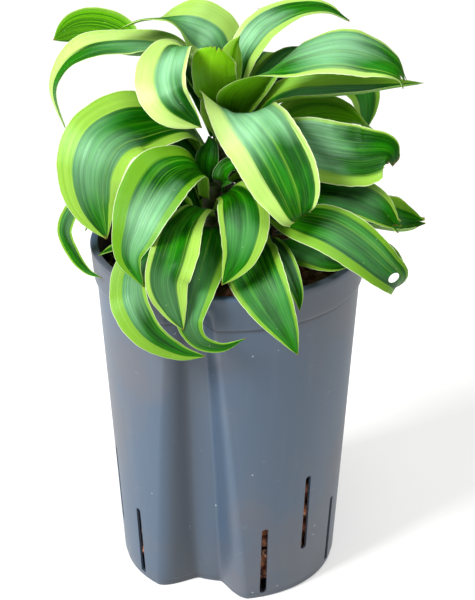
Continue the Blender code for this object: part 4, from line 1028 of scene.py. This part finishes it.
def leafTree():
    tree, given, result = newTree("leafBlade", {
        "Rows": ("Int", 96), "Columns": ("Int", 24), "Thickness": ("Float", 0.0007),
        "Crease": ("Float", 0.0005), "Pleats": ("Float", 0.0001), "Ripple": ("Float", 0.0008),
        "Ripple Pitch": ("Float", 13.0), "Ragged": ("Float", 0.1), "Nibble": ("Float", 0.08),
        "Seed": ("Float", 0.0), "Lime Plus": ("Float", 0.15), "Lime Minus": ("Float", 0.15),
        "Striped": ("Float", 0.4), "Painted Sheen": ("Float", 0.2), "Painted Sheen Place": ("Float", 0.5),
        "Painted Lime Paleness": ("Float", 0.3), "Material": ("Material", None)})
    rail = put(tree, "GeometryNodeMeshToCurve", {0: given["Geometry"]}).outputs[0]
    sheet = put(tree, "GeometryNodeMeshGrid", {
        "Size X": 2.0, "Size Y": 1.0, "Vertices X": calc(tree, "ADD", given["Columns"], 1.0),
        "Vertices Y": calc(tree, "ADD", given["Rows"], 1.0)}).outputs[0]
    spot = put(tree, "GeometryNodeInputPosition").outputs[0]
    parts = put(tree, "ShaderNodeSeparateXYZ", {0: spot}).outputs
    across, along = parts[0], calc(tree, "ADD", parts[1], 0.5)
    plus = calc(tree, "GREATER_THAN", across, 0.0)
    for label, value in (("across", across), ("along", along), ("seed", given["Seed"]),
                         ("limePlus", given["Lime Plus"]), ("limeMinus", given["Lime Minus"]),
                         ("striped", given["Striped"]), ("paintedSheen", given["Painted Sheen"]),
                         ("sheenPlace", given["Painted Sheen Place"]), ("pale", given["Painted Lime Paleness"])):
        sheet = put(tree, "GeometryNodeStoreNamedAttribute", {
            "Geometry": sheet, "Name": label, "Value": value}, data_type="FLOAT", domain="POINT").outputs[0]

    # the end is notched and torn: some of the blade stops short of the midrib's end
    tearing = joined(tree, times(tree, across, 1.7), calc(tree, "ADD", given["Seed"], 80.0))
    torn = cloud(tree, tearing, 1.0, 1.0)
    torn = times(tree, ease(tree, torn, 0.42, 0.66), given["Ragged"])
    reached = calc(tree, "SUBTRACT", along, times(tree, torn, ease(tree, along, 0.8, 1.0)))

    def sampled(label):
        value = put(tree, "GeometryNodeInputNamedAttribute", {"Name": label}, data_type="FLOAT_VECTOR")
        return put(tree, "GeometryNodeSampleCurve", {
            "Curves": rail, "Value": value.outputs[0], "Factor": reached},
            data_type="FLOAT_VECTOR", mode="FACTOR", use_all_curves=True).outputs

    def sided(minus, other):
        return put(tree, "ShaderNodeMix", {0: plus, 2: minus, 3: other}, data_type="FLOAT").outputs[0]

    facing = sampled("facing")
    middle, ahead, facing = facing["Position"], facing["Tangent"], facing["Value"]
    lean = put(tree, "ShaderNodeVectorMath", {0: facing, 1: ahead}, operation="DOT_PRODUCT").outputs["Value"]
    facing = vector(tree, "NORMALIZE", vector(tree, "SUBTRACT", facing, scaled(tree, ahead, lean)))
    sideways = vector(tree, "CROSS_PRODUCT", ahead, facing)
    girth = put(tree, "ShaderNodeSeparateXYZ", {0: sampled("girth")["Value"]}).outputs
    waves = put(tree, "ShaderNodeSeparateXYZ", {0: sampled("waves")["Value"]}).outputs
    half = sided(girth[0], girth[1])
    reach = calc(tree, "ABSOLUTE", across)
    square = times(tree, across, across)
    edge = calc(tree, "POWER", reach, 3.0)
    run = times(tree, along, given["Ripple Pitch"])

    def wander(x, y, shift=0.0):
        # noise about zero, which the leaf's own number shifts
        spot = joined(tree, x, y, calc(tree, "ADD", given["Seed"], shift))
        return calc(tree, "SUBTRACT", cloud(tree, spot), 0.5)

    flutter = wander(times(tree, plus, 7.0), run)
    nibble = wander(times(tree, plus, 5.0), times(tree, run, 1.7), 40.0)
    pleat = wander(times(tree, across, 6.0), along)
    # lift above the midrib: cup, wave, ripple, pleats and the crease down the middle
    lift = calc(tree, "MULTIPLY_ADD", half, girth[2], sided(waves[0], waves[1]))
    lift = times(tree, lift, square)
    lift = calc(tree, "MULTIPLY_ADD", times(tree, flutter, edge), given["Ripple"], lift)
    pleat = times(tree, pleat, calc(tree, "SUBTRACT", 1.0, square))
    lift = calc(tree, "MULTIPLY_ADD", pleat, given["Pleats"], lift)
    groove = times(tree, ease(tree, reach, 0.22, 0.0), ease(tree, along, 1.0, 0.6))
    lift = calc(tree, "SUBTRACT", lift, times(tree, groove, given["Crease"]))
    wide = calc(tree, "MULTIPLY_ADD", times(tree, nibble, edge), given["Nibble"], 1.0)
    spread = times(tree, times(tree, across, half), wide)
    body = vector(tree, "ADD", middle, scaled(tree, sideways, spread))
    # the blade thins out to nothing at its edges
    ends = calc(tree, "MINIMUM", ease(tree, along, 0.0, 0.03), ease(tree, along, 1.0, 0.97))
    thin = times(tree, calc(tree, "SUBTRACT", 1.0, calc(tree, "POWER", reach, 6.0)), ends)
    thin = times(tree, thin, times(tree, given["Thickness"], 0.5))
    both = put(tree, "GeometryNodeJoinGeometry")
    for below in (0.0, 1.0):
        height = calc(tree, "SUBTRACT" if below else "ADD", lift, thin)
        place = vector(tree, "ADD", body, scaled(tree, facing, height))
        layer = put(tree, "GeometryNodeSetPosition", {"Geometry": sheet, "Position": place}).outputs[0]
        if below:
            layer = put(tree, "GeometryNodeFlipFaces", {0: layer}).outputs[0]
        layer = put(tree, "GeometryNodeStoreNamedAttribute", {
            "Geometry": layer, "Name": "under", "Value": below}, data_type="FLOAT", domain="FACE").outputs[0]
        tree.links.new(layer, both.inputs[0])
    welded = put(tree, "GeometryNodeMergeByDistance", {"Geometry": both.outputs[0], "Distance": 1e-6})
    smoothed = put(tree, "GeometryNodeSetShadeSmooth", {"Geometry": welded.outputs[0]}).outputs[0]
    rim = put(tree, "GeometryNodeInputNamedAttribute", {"Name": "across"}, data_type="FLOAT").outputs[0]
    sharp = calc(tree, "GREATER_THAN", calc(tree, "ABSOLUTE", rim), 0.999)
    marked = put(tree, "GeometryNodeStoreNamedAttribute", {
        "Geometry": smoothed, "Name": "sharp_edge", "Value": sharp}, data_type="BOOLEAN", domain="EDGE")
    whole = put(tree, "GeometryNodeRealizeInstances", {0: marked.outputs[0]}).outputs[0]
    dressed = put(tree, "GeometryNodeSetMaterial", {0: whole, "Material": given["Material"]}).outputs[0]
    tree.links.new(dressed, result[0])
    return tree


def eyeCutter(eye):
    # an oval bar through a rolled tip: its middle, the way through it, its half sizes, slant and depth
    shape = bmesh.new()
    bmesh.ops.create_cone(shape, cap_ends=True, segments=24, radius1=1, radius2=1, depth=eye["deep"])
    turn, slant = Vector(eye["through"]).to_track_quat("Z", "Y"), math.radians(eye["slant"])
    for corner in shape.verts:
        x, y = corner.co.x * eye["size"][0], corner.co.y * eye["size"][1]
        spot = Vector((x * math.cos(slant) - y * math.sin(slant), x * math.sin(slant) + y * math.cos(slant),
                       corner.co.z + eye["deep"] * 0.2))
        corner.co = turn @ spot + Vector(eye["at"])
    return shape


bladeTree, bladeSkin = leafTree(), leafSkin()
faceCount = 0
for number, (name, own) in enumerate(leafShapes.items()):
    head, _, index = name.split("_")
    spec = leafPlain | own
    spine, rows = leafSpine(name, head, spec)
    torn = spec["end"] > leafPlain["end"]
    limePlus, limeMinus, striped, paintedSheen, sheenPlace, pale = spec["look"]
    piece = grown(head + "Blade" + index, spine, bladeTree, {
        "Rows": rows, "Columns": leafMake["columns"], "Thickness": leafMake["thickness"] * mm,
        "Crease": leafMake["crease"] * mm, "Pleats": leafMake["pleats"] * mm,
        "Ripple": leafMake["ripple"] * mm, "Ripple Pitch": float(leafMake["ripplePitch"]),
        "Ragged": leafMake["ragged"] if torn else 0.0, "Nibble": leafMake["nibble"],
        "Seed": number * leafMake["seedStep"], "Lime Plus": limePlus, "Lime Minus": limeMinus,
        "Striped": striped, "Painted Sheen": paintedSheen, "Painted Sheen Place": sheenPlace, "Painted Lime Paleness": pale,
        "Material": bladeSkin})
    if spec["eye"]:
        cutAway(piece, [eyeCutter(spec["eye"])])
    faceCount += len(piece.data.polygons)
    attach(piece, "root")
    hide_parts(name)
print("leaves:", len(leafShapes), "with", faceCount, "faces")


# floor, light and camera

studio = {
    "floor": paint(206, 206, 204), "floorGlow": 0.36, "world": 0.17,
    "keyAt": (-1.3, -1.0, 1.5), "keySize": 0.8, "keyPower": 80,
    "topAt": (0.5, -0.3, 1.9), "topSize": 1.2, "topPower": 30,
    "aim": (0, 0, 0.22),
}
camera = {"at": (0.0048, -1.1, 0.703), "tilt": 63.45, "lens": 138}

floorShape = bmesh.new()
bmesh.ops.create_grid(floorShape, x_segments=1, y_segments=1, size=4)
floorPiece = bpy.data.objects.new("studioFloor", meshOf(floorShape, "studioFloor", 1))
scene.collection.objects.link(floorPiece)
floorSkin, floorNodes, floorShader = newSkin("paleFloor")
floorShader.inputs["Base Color"].default_value = studio["floor"]
floorShader.inputs["Roughness"].default_value = 0.8
floorShader.inputs["Emission Color"].default_value = (1, 1, 1, 1)
floorShader.inputs["Emission Strength"].default_value = studio["floorGlow"]
floorPiece.data.materials.append(floorSkin)

for label in ("key", "top"):
    lamp = bpy.data.lights.new(label, "AREA")
    lamp.size, lamp.energy = studio[label + "Size"], studio[label + "Power"]
    holder = bpy.data.objects.new(label, lamp)
    holder.location = studio[label + "At"]
    holder.rotation_euler = (Vector(studio["aim"]) - holder.location).to_track_quat("-Z", "Y").to_euler()
    scene.collection.objects.link(holder)

sky = bpy.data.worlds.new("whiteRoom")
sky.use_nodes = True
sky.node_tree.nodes["Background"].inputs[0].default_value = (1, 1, 1, 1)
sky.node_tree.nodes["Background"].inputs[1].default_value = studio["world"]
scene.world = sky

view = bpy.data.cameras.new("camera")
view.lens = camera["lens"]
viewer = bpy.data.objects.new("camera", view)
viewer.location = camera["at"]
viewer.rotation_euler = (math.radians(camera["tilt"]), 0, 0)
scene.collection.objects.link(viewer)
scene.camera = viewer
scene.view_settings.view_transform = "Standard"
